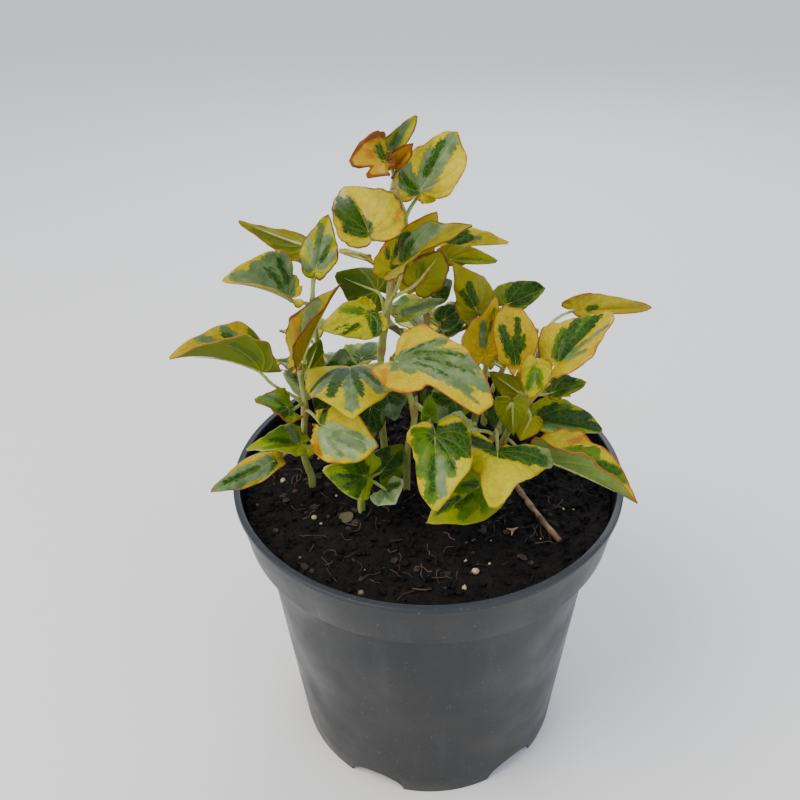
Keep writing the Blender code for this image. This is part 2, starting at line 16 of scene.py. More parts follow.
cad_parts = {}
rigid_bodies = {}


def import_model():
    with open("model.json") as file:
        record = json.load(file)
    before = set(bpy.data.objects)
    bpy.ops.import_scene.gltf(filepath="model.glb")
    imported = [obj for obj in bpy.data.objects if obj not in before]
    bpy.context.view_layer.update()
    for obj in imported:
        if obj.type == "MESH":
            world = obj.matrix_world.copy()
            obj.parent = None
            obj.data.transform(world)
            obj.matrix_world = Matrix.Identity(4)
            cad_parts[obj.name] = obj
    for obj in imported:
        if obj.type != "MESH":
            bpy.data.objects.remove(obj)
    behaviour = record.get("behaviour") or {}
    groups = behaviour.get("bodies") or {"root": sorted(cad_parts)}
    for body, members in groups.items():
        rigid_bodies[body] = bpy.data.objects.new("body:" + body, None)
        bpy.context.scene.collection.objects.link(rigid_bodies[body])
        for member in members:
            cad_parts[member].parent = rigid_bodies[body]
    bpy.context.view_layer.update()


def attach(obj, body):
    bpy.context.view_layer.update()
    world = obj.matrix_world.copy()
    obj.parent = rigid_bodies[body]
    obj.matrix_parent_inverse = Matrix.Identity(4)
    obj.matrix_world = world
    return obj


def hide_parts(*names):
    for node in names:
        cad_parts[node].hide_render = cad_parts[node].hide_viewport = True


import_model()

# The pot is a nursery pot of black polypropylene, injection moulded in one shot: a tapered tub with a
# stepped collar that stiffens its top, a rolled bead for a lip, and a foot ring cut by arches for water.
# It is dusty, scuffed along the lip, and has drips of dried compost down its sides.
MM = 0.001
POT_HEIGHT = 147.0
LIP_RADIUS = 85.0
LIP_WIDTH = 2.9
LIP_DEPTH = 2.4
COLLAR_HEIGHT = 22.4
COLLAR_INSET = 0.9
COLLAR_FOOT_RADIUS = 81.3
SHOULDER_RADIUS = 75.2
BASE_RADIUS = 65.5
WALL = 1.4
FOOT_WALL = 2.4
FLOOR_BOTTOM = 10.5
FLOOR_TOP = 12.1
MOULD_ROUNDING = 0.5
POT_SIDES = 162
ARCH_COUNT = 6
FIRST_ARCH = -52.0
ARCH_HEIGHT = 9.2
ARCH_BAND = ARCH_HEIGHT + 3
ARCH_WIDTH = 27.0
DRAIN_RADIUS = 5.5
DRAIN_CIRCLE = 46.0


def linear(code):
    """A colour's linear red, green, blue and alpha, from its sRGB hex value."""
    shares = [int(code[start:start + 2], 16) / 255 for start in (1, 3, 5)]
    return (*[share / 12.92 if share <= 0.04045 else ((share + 0.055) / 1.055) ** 2.4 for share in shares], 1.0)


def add_node(material, kind, inputs=None, **settings):
    """Add a node: settings are its own choices, inputs are its sockets' values or the sockets that feed them."""
    made = material.node_tree.nodes.new(kind)
    for name, value in settings.items():
        setattr(made, name, value)
    for name, value in (inputs or {}).items():
        if isinstance(value, bpy.types.NodeSocket):
            material.node_tree.links.new(value, made.inputs[name])
        else:
            made.inputs[name].default_value = value
    return made


def new_material(name):
    material = bpy.data.materials.new(name)
    material.use_nodes = True
    material.node_tree.nodes.clear()
    return material


def finish_material(material, **sockets):
    """Give the material its surface shader with these sockets, and its output."""
    inputs = {name.replace("_", " "): value for name, value in sockets.items()}
    shader = add_node(material, "ShaderNodeBsdfPrincipled", inputs)
    add_node(material, "ShaderNodeOutputMaterial", {"Surface": shader.outputs["BSDF"]})
    return material


def place_piece(name, shape, materials, stands_for=()):
    """Turn a bmesh in metres into a shown piece that rides on the plant."""
    mesh = bpy.data.meshes.new(name)
    shape.to_mesh(mesh)
    shape.free()
    for material in materials:
        mesh.materials.append(material)
    piece = bpy.data.objects.new(name, mesh)
    bpy.context.scene.collection.objects.link(piece)
    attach(piece, "root")
    if stands_for:
        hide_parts(*stands_for)
    return piece


def black_polypropylene():
    """Moulded polypropylene with carbon black: a soft satin gloss, greyed by dust that lies in patches."""
    material = new_material("moulded_black_polypropylene")
    place = add_node(material, "ShaderNodeTexCoord").outputs["Object"]
    height = add_node(material, "ShaderNodeSeparateXYZ", {"Vector": place}).outputs["Z"]
    haze = add_node(material, "ShaderNodeTexNoise", {"Vector": place, "Scale": 38.0, "Detail": 5.0})
    specks = add_node(material, "ShaderNodeTexNoise", {"Vector": place, "Scale": 900.0, "Detail": 2.0})
    streaks = add_node(material, "ShaderNodeMapping", {"Vector": place, "Scale": (150.0, 150.0, 14.0)})
    streak = add_node(material, "ShaderNodeTexNoise", {"Vector": streaks.outputs["Vector"], "Scale": 1.0})
    dust = add_node(material, "ShaderNodeMapRange", {
        "Value": haze.outputs["Fac"], "From Min": 0.42, "From Max": 0.75, "To Min": 0.0, "To Max": 0.55,
    })
    drip = add_node(material, "ShaderNodeMapRange", {
        "Value": streak.outputs["Fac"], "From Min": 0.56, "From Max": 0.74, "To Min": 0.0, "To Max": 0.35,
    })
    speck = add_node(material, "ShaderNodeMapRange", {
        "Value": specks.outputs["Fac"], "From Min": 0.68, "From Max": 0.75, "To Min": 0.0, "To Max": 0.35,
    })
    lip = add_node(material, "ShaderNodeMapRange", {
        "Value": height, "From Min": (POT_HEIGHT - 3) * MM, "From Max": POT_HEIGHT * MM, "To Min": 0.0, "To Max": 0.4,
    })
    dusty = add_node(material, "ShaderNodeMath", {0: dust.outputs["Result"], 1: drip.outputs["Result"]}, operation="ADD")
    plastic = add_node(material, "ShaderNodeMix", {
        0: dusty.outputs["Value"], 6: linear("#0D0F11"), 7: linear("#2B2E32"),
    }, data_type="RGBA")
    worn = add_node(material, "ShaderNodeMix", {
        0: lip.outputs["Result"], 6: plastic.outputs[2], 7: linear("#454950"),
    }, data_type="RGBA")
    splashed = add_node(material, "ShaderNodeMix", {
        0: speck.outputs["Result"], 6: worn.outputs[2], 7: linear("#8C8578"),
    }, data_type="RGBA")
    rough = add_node(material, "ShaderNodeMapRange", {
        "Value": haze.outputs["Fac"], "From Min": 0.3, "From Max": 0.7, "To Min": 0.3, "To Max": 0.52,
    })
    grain = add_node(material, "ShaderNodeBump", {
        "Height": specks.outputs["Fac"], "Strength": 0.12, "Distance": 0.15 * MM,
    })
    return finish_material(
        material, Base_Color=splashed.outputs[2], Roughness=rough.outputs["Result"], Normal=grain.outputs["Normal"],
        Specular_IOR_Level=0.3,
    )


def make_pot():
    step = POT_HEIGHT - COLLAR_HEIGHT
    lip_foot = POT_HEIGHT - LIP_DEPTH
    taper = (SHOULDER_RADIUS - BASE_RADIUS) / step
    profile = (
        (BASE_RADIUS, 0), (BASE_RADIUS + taper * ARCH_BAND, ARCH_BAND), (SHOULDER_RADIUS, step),
        (COLLAR_FOOT_RADIUS, step), (LIP_RADIUS - COLLAR_INSET, lip_foot),
        (LIP_RADIUS, lip_foot), (LIP_RADIUS, POT_HEIGHT), (LIP_RADIUS - LIP_WIDTH, POT_HEIGHT),
        (LIP_RADIUS - LIP_WIDTH, lip_foot), (COLLAR_FOOT_RADIUS - WALL, step + WALL),
        (SHOULDER_RADIUS - WALL, step + WALL), (BASE_RADIUS + taper * FLOOR_TOP - WALL, FLOOR_TOP),
        (DRAIN_RADIUS, FLOOR_TOP), (DRAIN_RADIUS, FLOOR_BOTTOM), (BASE_RADIUS - FOOT_WALL, FLOOR_BOTTOM),
        (BASE_RADIUS - FOOT_WALL, 0),
    )
    shape = bmesh.new()
    verts = [shape.verts.new((radius * MM, 0, height * MM)) for radius, height in profile]
    edges = [shape.edges.new((verts[index - 1], verts[index])) for index in range(len(verts))]
    bmesh.ops.bevel(
        shape, geom=verts, offset=MOULD_ROUNDING * MM, offset_type="OFFSET", segments=3, profile=0.5,
        affect="VERTICES", material=-1,
    )
    bmesh.ops.spin(
        shape, geom=shape.verts[:] + shape.edges[:], cent=(0, 0, 0), axis=(0, 0, 1), angle=tau,
        steps=POT_SIDES, use_merge=True,
    )
    bmesh.ops.recalc_face_normals(shape, faces=shape.faces)
    pot = place_piece("nursery_pot", shape, [black_polypropylene()], ["pot"])
    cutters = bpy.data.collections.new("cutters")
    for index in range(ARCH_COUNT):
        turn = Matrix.Rotation(radians(FIRST_ARCH + 360 / ARCH_COUNT * index), 4, "Z")
        cutter = bmesh.new()
        bmesh.ops.create_cone(
            cutter, cap_ends=True, segments=40, radius1=1, radius2=1, depth=1,
            matrix=turn @ Matrix.Translation((BASE_RADIUS * MM, 0, 0))
            @ Matrix.Diagonal((4 * FOOT_WALL * MM, ARCH_WIDTH / 2 * MM, ARCH_HEIGHT * MM, 1))
            @ Matrix.Rotation(pi / 2, 4, "Y"),
        )
        bmesh.ops.create_cone(
            cutter, cap_ends=True, segments=32, radius1=DRAIN_RADIUS * MM, radius2=DRAIN_RADIUS * MM,
            depth=4 * WALL * MM, matrix=turn @ Matrix.Translation((DRAIN_CIRCLE * MM, 0, FLOOR_TOP * MM)),
        )
        mesh = bpy.data.meshes.new("cutter")
        cutter.to_mesh(mesh)
        cutter.free()
        cutters.objects.link(bpy.data.objects.new("cutter", mesh))
    cut = pot.modifiers.new("arches", "BOOLEAN")
    cut.operation = "DIFFERENCE"
    cut.operand_type = "COLLECTION"
    cut.collection = cutters
    graph = bpy.context.evaluated_depsgraph_get()
    pot.data = bpy.data.meshes.new_from_object(pot.evaluated_get(graph))
    pot.modifiers.clear()
    for cutter in list(cutters.objects):
        bpy.data.objects.remove(cutter)
    bpy.data.collections.remove(cutters)
    pot.data.shade_smooth()
    pot.data.set_sharp_from_angle(angle=radians(35))


make_pot()

# The compost is damp, nearly black peat, pressed down by watering and heaped a little round the stems.
# Its surface is all crumbs, with brown fibres, a few pale slow-release beads and bits of bark and shell.
PALE_BITS = ((-65, -1, 2.7), (-48, -26, 2.7), (19, -57, 3.8), (15, -51, 1.6), (14, -65, 2.4), (26, -40, 0.9))
DULL_BITS = ((19, -40, 2.0), (16, -41, 1.7), (-25, -68, 3.2), (-51, -49, 1.6), (-74, -17, 2.0))
FALLEN_LEAF_AT = (-34, -27)
FALLEN_LEAF_RADIUS = 3.2
SOIL_EDGE = 136.3
SOIL_HEAP = 2.4
SOIL_LUMP = 1.0
SOIL_LUMP_SPACING = 17.0
SOIL_RADIUS = 82.0
SOIL_STEP = 0.85
CRUMB_COUNT = 2600
FIBRE_COUNT = 190
chance = Random(7)


def soil_height(x, y):
    """The compost's surface, heaped towards the middle, with lumps."""
    share = hypot(x, y) / COLLAR_FOOT_RADIUS
    lumps = noise.noise(Vector((x, y, 0)) / SOIL_LUMP_SPACING) * (1 - share**4)
    return SOIL_EDGE + SOIL_HEAP * (1 - share**2) + SOIL_LUMP * lumps


def damp_peat():
    """Damp peat: near black, brown where it is drier, and rough."""
    material = new_material("damp_peat")
    place = add_node(material, "ShaderNodeTexCoord").outputs["Object"]
    patches = add_node(material, "ShaderNodeTexNoise", {"Vector": place, "Scale": 140.0, "Detail": 6.0})
    crumbs = add_node(material, "ShaderNodeTexNoise", {"Vector": place, "Scale": 1100.0, "Detail": 4.0})
    chips = add_node(material, "ShaderNodeTexVoronoi", {"Vector": place, "Scale": 520.0})
    dry = add_node(material, "ShaderNodeValToRGB", {"Fac": patches.outputs["Fac"]})
    dry.color_ramp.elements[0].position = 0.38
    dry.color_ramp.elements[0].color = linear("#070607")
    dry.color_ramp.elements[1].position = 0.72
    dry.color_ramp.elements[1].color = linear("#16110F")
    fine = add_node(material, "ShaderNodeMapRange", {
        "Value": crumbs.outputs["Fac"], "From Min": 0.55, "From Max": 0.8, "To Min": 0.0, "To Max": 0.7,
    })
    crumbed = add_node(material, "ShaderNodeMix", {
        0: fine.outputs["Result"], 6: dry.outputs["Color"], 7: linear("#2A201D"),
    }, data_type="RGBA")
    bump = add_node(material, "ShaderNodeBump", {
        "Height": crumbs.outputs["Fac"], "Strength": 0.9, "Distance": 0.8 * MM,
    })
    chipped = add_node(material, "ShaderNodeBump", {
        "Height": chips.outputs["Distance"], "Strength": 0.5, "Distance": 0.6 * MM, "Normal": bump.outputs["Normal"],
    })
    return finish_material(
        material, Base_Color=crumbed.outputs[2], Roughness=0.82, Normal=chipped.outputs["Normal"],
        Specular_IOR_Level=0.2,
    )


def plain_matter(name, dark, light, size, roughness):
    """A natural scrap, such as a bead, bark or dry stalk: two colours that blend over so many millimetres."""
    material = new_material(name)
    place = add_node(material, "ShaderNodeTexCoord").outputs["Object"]
    mottle = add_node(material, "ShaderNodeTexNoise", {"Vector": place, "Scale": 1 / (size * MM), "Detail": 4.0})
    colour = add_node(material, "ShaderNodeValToRGB", {"Fac": mottle.outputs["Fac"]})
    colour.color_ramp.elements[0].position = 0.35
    colour.color_ramp.elements[0].color = linear(dark)
    colour.color_ramp.elements[1].position = 0.68
    colour.color_ramp.elements[1].color = linear(light)
    bump = add_node(material, "ShaderNodeBump", {
        "Height": mottle.outputs["Fac"], "Strength": 0.6, "Distance": 0.3 * MM,
    })
    return finish_material(
        material, Base_Color=colour.outputs["Color"], Roughness=roughness, Normal=bump.outputs["Normal"],
    )


def make_compost():
    """The surface, a fine grid bent to the heap and roughened, with a skirt down to the pot's wall."""
    shape = bmesh.new()
    cells = int(2 * SOIL_RADIUS / SOIL_STEP)
    bmesh.ops.create_grid(shape, x_segments=cells, y_segments=cells, size=SOIL_RADIUS * MM)
    outside = [face for face in shape.faces if face.calc_center_median().length > (SOIL_RADIUS - 1.4) * MM]
    bmesh.ops.delete(shape, geom=outside, context="FACES")
    for vert in shape.verts:
        x, y = vert.co.x / MM, vert.co.y / MM
        spot = Vector((x, y, 0))
        rough = 1.5 * noise.noise(spot / 4.5) + 0.9 * noise.noise(spot / 1.9) + 0.8 * abs(noise.noise(spot / 3.1))
        vert.co.z = (soil_height(x, y) + rough) * MM
    rim = [edge for edge in shape.edges if edge.is_boundary]
    skirt = bmesh.ops.extrude_edge_only(shape, edges=rim)
    lowered = [item for item in skirt["geom"] if isinstance(item, bmesh.types.BMVert)]
    for vert in lowered:
        vert.co.z = (SOIL_EDGE - 9) * MM
        vert.co.xy = vert.co.xy.normalized() * (COLLAR_FOOT_RADIUS - 2) * MM
    bmesh.ops.recalc_face_normals(shape, faces=shape.faces)
    peat = damp_peat()
    compost = place_piece("compost", shape, [peat], ["soil"])
    compost.data.shade_smooth()
    return peat


def scatter(radius):
    """A random place on the compost, even over its surface."""
    turn = chance.uniform(0, tau)
    reach = radius * chance.random() ** 0.5
    return reach * cos(turn), reach * sin(turn)


def lump(shape, x, y, size, squash, bury):
    """An angular crumb on the compost, sunk by a share of its size."""
    made = bmesh.ops.create_icosphere(shape, subdivisions=1, radius=size / 2 * MM)
    turn = Euler((chance.uniform(0, tau), chance.uniform(0, tau), chance.uniform(0, tau))).to_matrix()
    place = Vector((x, y, soil_height(x, y) + size * (0.5 - bury) * squash)) * MM
    for vert in made["verts"]:
        vert.co *= chance.uniform(0.7, 1.25)
        vert.co = turn @ vert.co
        vert.co.z *= squash
        vert.co += place


def make_crumbs(peat):
    shape = bmesh.new()
    for _ in range(CRUMB_COUNT):
        x, y = scatter(SOIL_RADIUS - 4)
        lump(shape, x, y, 0.8 + 2.6 * chance.random() ** 3, chance.uniform(0.6, 1.0), 0.15)
    crumbs = place_piece("compost_crumbs", shape, [peat])
    crumbs.data.shade_smooth()
    crumbs.data.set_sharp_from_angle(angle=radians(50))


def rod(shape, line, radii, sides):
    """A round rod along the line of points, in millimetres, with closed ends. Gives back its rings of verts."""
    last = len(line) - 1
    made = bmesh.ops.create_grid(shape, x_segments=sides, y_segments=last, size=1)
    rings = [[] for _ in line]
    side = Vector((0, 1, 0))
    frames = []
    for step, place in enumerate(line):
        ahead = (line[min(step + 1, last)] - line[max(step - 1, 0)]).normalized()
        side = (side - side.dot(ahead) * ahead).normalized()
        frames.append((place, side.copy(), ahead.cross(side)))
    for vert in made["verts"]:
        step = round((vert.co.y + 1) / 2 * last)
        turn = (vert.co.x + 1) * pi
        place, side, across = frames[step]
        vert.co = (place + radii[step] * (cos(turn) * side + sin(turn) * across)) * MM
        rings[step].append(vert)
    faces = {face for vert in made["verts"] for face in vert.link_faces}
    bmesh.ops.remove_doubles(shape, verts=made["verts"], dist=1e-7)
    ends = {edge for face in faces for edge in face.edges if edge.is_boundary}
    caps = bmesh.ops.holes_fill(shape, edges=list(ends), sides=0)
    bmesh.ops.recalc_face_normals(shape, faces=list(faces) + caps["faces"])
    return rings


def smooth_path(points, steps):
    """A smooth line through the points, with so many steps from one point to the next."""
    points = [Vector(point) for point in points]
    points = [2 * points[0] - points[1], *points, 2 * points[-1] - points[-2]]
    line = []
    for before, start, end, after in zip(points, points[1:], points[2:], points[3:]):
        for step in range(steps):
            t = step / steps
            line.append(
                0.5 * (2 * start + (end - before) * t + (2 * before - 5 * start + 4 * end - after) * t**2
                       + (3 * start - before - 3 * end + after) * t**3)
            )
    return [*line, points[-2]]


def make_fibres():
    """Peat fibres: thin, bent, brown threads that lie on the crumbs."""
    shape = bmesh.new()
    for _ in range(FIBRE_COUNT):
        x, y = scatter(SOIL_RADIUS - 8)
        turn = chance.uniform(0, tau)
        points = []
        for _ in range(4):
            points.append((x, y, soil_height(x, y) + chance.uniform(0.6, 2.2)))
            turn += chance.uniform(-0.9, 0.9)
            step = chance.uniform(1.0, 3.4)
            x += step * cos(turn)
            y += step * sin(turn)
        if hypot(x, y) > SOIL_RADIUS - 4:
            continue
        line = smooth_path(points, 3)
        thick = chance.uniform(0.10, 0.26)
        rod(shape, line, [thick] * len(line), 4)
    fibres = place_piece("peat_fibres", shape, [plain_matter("peat_fibre", "#261C16", "#64503C", 6, 0.8)])
    fibres.data.shade_smooth()


def make_scraps():
    """Pale beads, grit and bark, where the photograph shows them, and some small ones anywhere."""
    shape = bmesh.new()
    for x, y, size in PALE_BITS:
        lump(shape, x, y, size, 0.85, 0.2)
    for _ in range(46):
        x, y = scatter(SOIL_RADIUS - 8)
        lump(shape, x, y, chance.uniform(0.6, 1.5), 0.8, 0.1)
    beads = place_piece("pale_beads", shape, [plain_matter("clay_bead", "#8C7C5C", "#C9BC93", 2, 0.6)])
    beads.data.shade_smooth()
    dull = bmesh.new()
    for x, y, size in DULL_BITS:
        lump(dull, x, y, size, 0.7, 0.2)
    flecks = place_piece("dull_flecks", dull, [plain_matter("dull_grit", "#3E342C", "#7A6C5C", 2, 0.8)])
    flecks.data.shade_smooth()
    bark = bmesh.new()
    for _ in range(120):
        x, y = scatter(SOIL_RADIUS - 8)
        lump(bark, x, y, chance.uniform(1.6, 4.2), 0.35, 0.0)
    chips = place_piece("bark_chips", bark, [plain_matter("peat_bark", "#120F0D", "#3A2C24", 3, 0.85)])
    chips.data.shade_smooth()
    chips.data.set_sharp_from_angle(angle=radians(40))


def make_fallen_leaf():
    """A small round leaf that has dropped on the compost, olive turning brown, a little cupped."""
    x, y = FALLEN_LEAF_AT
    shape = bmesh.new()
    made = bmesh.ops.create_uvsphere(shape, u_segments=24, v_segments=10, radius=1)
    lean = Euler((radians(18), radians(-10), 0)).to_matrix()
    for vert in made["verts"]:
        across, along, up = vert.co * FALLEN_LEAF_RADIUS
        cupped = Vector((across, 0.85 * along, 0.06 * up + 0.07 * across * across))
        vert.co = (lean @ cupped + Vector((x, y, soil_height(x, y) + 1.6))) * MM
    browned = plain_matter("fallen_leaf_skin", "#2A3018", "#4C4826", 4, 0.6)
    fallen = place_piece("fallen_leaf", shape, [browned])
    fallen.data.shade_smooth()


peat = make_compost()
make_crumbs(peat)
make_fibres()
make_scraps()
make_fallen_leaf()

# A dead stalk of the plant, dry and brown, lies half sunk in the compost, cut square at its outer end.
# Beside it lies a pale forked splinter.
STALK_PATH = ((38, -2), (42, -14), (48, -28), (54, -40))
STALK_RADIUS = 1.3
STALK_LIFT = 0.6
FORK_AT = (35, -35)
FORK_ARMS = ((38, 3.2), (149, 2.6), (260, 3.0))


def make_dead_stalk():
    places = [(x, y, soil_height(x, y) + STALK_LIFT + 0.4) for x, y in STALK_PATH]
    line = smooth_path(places, 8)
    radii = [STALK_RADIUS * (1 + 0.1 * sin(index * 1.3)) for index in range(len(line))]
    shape = bmesh.new()
    rod(shape, line, radii, 12)
    dry = plain_matter("dry_stalk", "#5C4230", "#A88B66", 5, 0.75)
    stalk = place_piece("dead_stalk_dry", shape, [dry], ["dead_stalk"])
    stalk.data.shade_smooth()
    stalk.data.set_sharp_from_angle(angle=radians(50))


def make_fork():
    x, y = FORK_AT
    height = soil_height(x, y) + 1.2
    shape = bmesh.new()
    for turn, length in FORK_ARMS:
        end = Vector((x + length * cos(radians(turn)), y + length * sin(radians(turn)), height))
        line = smooth_path([(x, y, height + 0.3), (Vector((x, y, height + 0.5)) + end) / 2, end], 3)
        last = len(line) - 1
        rod(shape, line, [0.7 - 0.55 * index / last for index in range(last + 1)], 6)
    splinter = plain_matter("pale_splinter", "#8A7458", "#B89C78", 2, 0.7)
    fork = place_piece("forked_splinter", shape, [splinter])
    fork.data.shade_smooth()


make_dead_stalk()
make_fork()

# A leafy stem is a green, slightly red rod that swells at each node. Every leaf hangs on its own stalk, and
# its blade is a thin, waved heart with five to seven veins that fan out from the foot and bend to the tip.
# The variegation follows the veins: green and grey-green streaks on yellow, with a red edge.
ROOT_HEIGHT = 125.0
STAND_HEIGHT = 143.0
STEM_FOOT_RADIUS = 1.7
STEM_TIP_RADIUS = 1.0
STEM_STEPS = 7
STEM_SIDES = 12
NODE_SWELLING = 0.35
NODE_LENGTH = 2.2
PETIOLE_RADIUS = 0.75
PETIOLE_FOOT_RADIUS = 1.05
PETIOLE_BEND = 0.38
PETIOLE_ARRIVAL = (0, 0.6, 0.8)
PETIOLE_STEPS = 12
MIDRIB_END = 0.72
MIDRIB_STEPS = 9
BLADE_THICKNESS = 0.45
OUTLINE = (
    (0, 1.00), (13, 0.80), (26, 0.675), (42, 0.59), (62, 0.53), (82, 0.49),
    (102, 0.455), (122, 0.41), (142, 0.345), (158, 0.265), (172, 0.15),
)
OUTLINE_HALF_WIDTH = 0.485
LAST_ANGLE = 167.0
BLADE_WAVES = 3.5
MAIN_VEINS = (0, 42, 82, 124)
VEIN_BEND = 0.36
QUILTING = 0.25
QUILT_WIDTH = 2.4
CELL = 0.95
TAPER = 0.75
SPREAD = 1.45
RIM_SHARE = 0.85
RIPPLE = 1.7

YELLOW = "#E8CC12"
CREAM = "#DED68E"
RED = "#74202A"
PINK = "#C78672"
SAGE_UNDER = "#9CAA7E"
OLIVE_UNDER = "#8E9038"
DARK = "dark"
GREY = "grey"
FRESH = "fresh"
WARM = "warm"
PALE = "pale"

BANDED = ((DARK, 5, 0.1, 0.7, 3.4), (DARK, 50, 0.1, 0.8, 2.4), (GREY, -45, 0.1, 0.85, 2.8), (DARK, -110, 0.1, 0.7, 2))
RIBBED = ((GREY, 5, 0.1, 0.8, 3.2), (DARK, -40, 0.1, 0.8, 2.8), (GREY, 80, 0.1, 0.7, 2.4))
LOBED = ((DARK, -10, 0.1, 0.7, 3), (FRESH, 40, 0.1, 0.9, 2.8), (DARK, 110, 0.1, 0.7, 2), (FRESH, -80, 0.1, 0.8, 2.4))
SHADED = ((GREY, 0, 0, 0.8, 4.5), (DARK, 40, 0, 0.7, 2.8), (DARK, -40, 0, 0.7, 2.8))

FRONT = (0.0, -0.8, 0.6)
AWAY = (0.0, 0.8, -0.6)


class Leaf(NamedTuple):
    """A leaf: where it grows, how its blade lies and is bent, and how it is coloured."""

    node: float  # share of the stem's length at which the leaf stalk leaves it
    foot: tuple  # where the leaf stalk meets the blade
    tip: tuple
    faces: tuple  # the way the upper side looks
    width: float
    fold: float = 12  # how far each half is raised about the midrib
    cup: float = 0  # how much further the margin is raised, or lowered where it is below 0
    arch: float = 30  # how far the midrib turns down from the foot to the tip
    twist: float = 0  # how far the tip is turned about the midrib
    wave: float = 0.9  # height of the margin's waves
    ground: str = YELLOW  # colour between the marks
    edge: str = RED
    rim: float = 0.5  # how wide the edge's colour is
    under: str = OLIVE_UNDER
    marks: tuple = ()  # streaks along a vein: kind, the vein's angle, reach where it starts and ends, half width
    stretch: tuple = ()  # where the outline isn't a plain heart: angles, and the share of a heart's reach there
    curls: tuple = ()  # bent margins: first and last angle, share of the reach where it starts, turn


class Stem(NamedTuple):
    """A leafy stem: its way from the compost to its top, and its leaves."""

    path: tuple
    leaves: tuple


@lru_cache(maxsize=None)
def outline_reach(angle):
    """How far the heart's outline lies from its foot, as a share of the blade's length."""
    angle = abs(angle)
    slopes = [(far - near) / (high - low) for (low, near), (high, far) in zip(OUTLINE, OUTLINE[1:])]
    for index, ((low, near), (high, far)) in enumerate(zip(OUTLINE, OUTLINE[1:])):
        if angle <= high:
            span = high - low
            t = (angle - low) / span
            start = (slopes[max(index - 1, 0)] + slopes[index]) / 2 * span
            end = (slopes[index] + slopes[min(index + 1, len(slopes) - 1)]) / 2 * span
            return (
                near * (2 * t**3 - 3 * t**2 + 1) + start * (t**3 - 2 * t**2 + t)
                + far * (3 * t**2 - 2 * t**3) + end * (t**3 - t**2)
            )
    return OUTLINE[-1][1]


def vein_angle(vein, reach):
    """Where a vein that leaves the foot at this angle has bent to."""
    return vein * (1 - VEIN_BEND * reach**1.4)


class Blade:
    """The bent surface of a leaf's blade."""

    def __init__(self, leaf):
        self.leaf = leaf
        self.foot = Vector(leaf.foot)
        chord = Vector(leaf.tip) - self.foot
        ahead = chord.normalized()
        facing = Vector(leaf.faces)
        up = (facing - facing.dot(ahead) * ahead).normalized()
        self.axes = Matrix((ahead.cross(up), ahead, up)).transposed()
        half_arch = radians(leaf.arch) / 2
        self.length = chord.length * (half_arch / sin(half_arch) if half_arch else 1)
        self.half_width = leaf.width / 2
        self.seed = self.foot.x + 1.7 * self.foot.y + 2.3 * self.foot.z

    def midrib(self, along):
        """The midrib's point and slope at a length along it, in the plane of the chord and the face."""
        arch = radians(self.leaf.arch)
        share = along / self.length
        slope = arch / 2 - arch * share if share > 0 else arch / 2
        if not arch or share <= 0:
            return Vector((0, along * cos(slope), along * sin(slope))), slope
        bend = self.length / arch
        return Vector((0, bend * (sin(arch / 2) - sin(slope)), bend * (cos(slope) - cos(arch / 2)))), slope

    def margin(self, angle):
        """How far this blade's outline lies from its foot, as a share of the blade's length."""
        shape = self.leaf.stretch
        share = shape[-1][1] if shape else 1
        for (low, near), (high, far) in reversed(list(zip(shape, shape[1:]))):
            if angle < high:
                t = max(0, (angle - low) / (high - low))
                share = near + (far - near) * t * t * (3 - 2 * t)
        return share * outline_reach(angle)

    def flat(self, angle, reach):
        """Across and along in millimetres, as if the blade were pressed flat."""
        radius = self.margin(angle) * reach * (1 + 0.035 * reach * noise.noise(Vector((angle / 11, self.seed, 0))))
        along = radius * cos(radians(angle)) * self.length
        across = radius * sin(radians(angle)) / OUTLINE_HALF_WIDTH * self.half_width
        return across, along

    def vein_distance(self, angle, reach):
        """How far, in millimetres, the nearest main vein is."""
        apart = min(abs(abs(angle) - vein_angle(vein, reach)) for vein in MAIN_VEINS)
        return radians(apart) * self.margin(angle) * reach * self.length

    def streak(self, mark):
        """A streak's two ends, pressed flat, and its half width."""
        kind, vein, start, end, half_width = mark
        ends = [Vector(self.flat(vein_angle(vein, reach), reach)) for reach in (start, end)]
        return *ends, half_width * (SPREAD if kind in (DARK, GREY, FRESH) else 1)

    def lie(self, angle, reach):
        """The point of the blade before its margin curls."""
        leaf = self.leaf
        across, along = self.flat(angle, reach)
        spot, slope = self.midrib(along)
        rise = radians(leaf.fold + leaf.cup * abs(across) / self.half_width)
        roll = radians(leaf.twist) * max(0, along / self.length)
        wave = reach**3 * sin(BLADE_WAVES * radians(angle) + self.foot.x)
        wave += reach**5 * noise.noise(Vector((angle / 13, self.seed, 5)))
        wave *= leaf.wave * RIPPLE
        between = min(1, self.vein_distance(angle, reach) / QUILT_WIDTH)
        wave += QUILTING * (between * (2 - between) - 1) * (1 - reach**4)
        out = Vector((across * cos(rise), 0, abs(across) * sin(rise) + wave))
        out = Matrix.Rotation(roll, 3, "Y") @ out
        out = Matrix.Rotation(slope, 3, "X") @ out
        return self.foot + self.axes @ (spot + out)

    def point(self, angle, reach):
        """The point of the blade at an angle from the tip, at a share of the way out to the margin."""
        for first, last, start, turn in self.leaf.curls:
            middle, half = (first + last) / 2, (last - first) / 2
            share = 1 - abs(angle - middle) / half
            if share <= 0 or reach <= start:
                continue
            share = min(1, 2.5 * share)
            bend = radians(turn) * share * share * (3 - 2 * share)
            if abs(bend) < 0.02:
                continue
            base = self.lie(angle, start)
            ray = self.lie(angle, 1) - base
            beside = self.lie(angle + 2, start) - self.lie(angle - 2, start)
            up = beside.cross(ray).normalized()
            done = (reach - start) / (1 - start)
            radius = ray.length / bend
            ahead = ray.normalized()
            return base + radius * (sin(bend * done) * ahead + (1 - cos(bend * done)) * up)
        return self.lie(angle, reach)


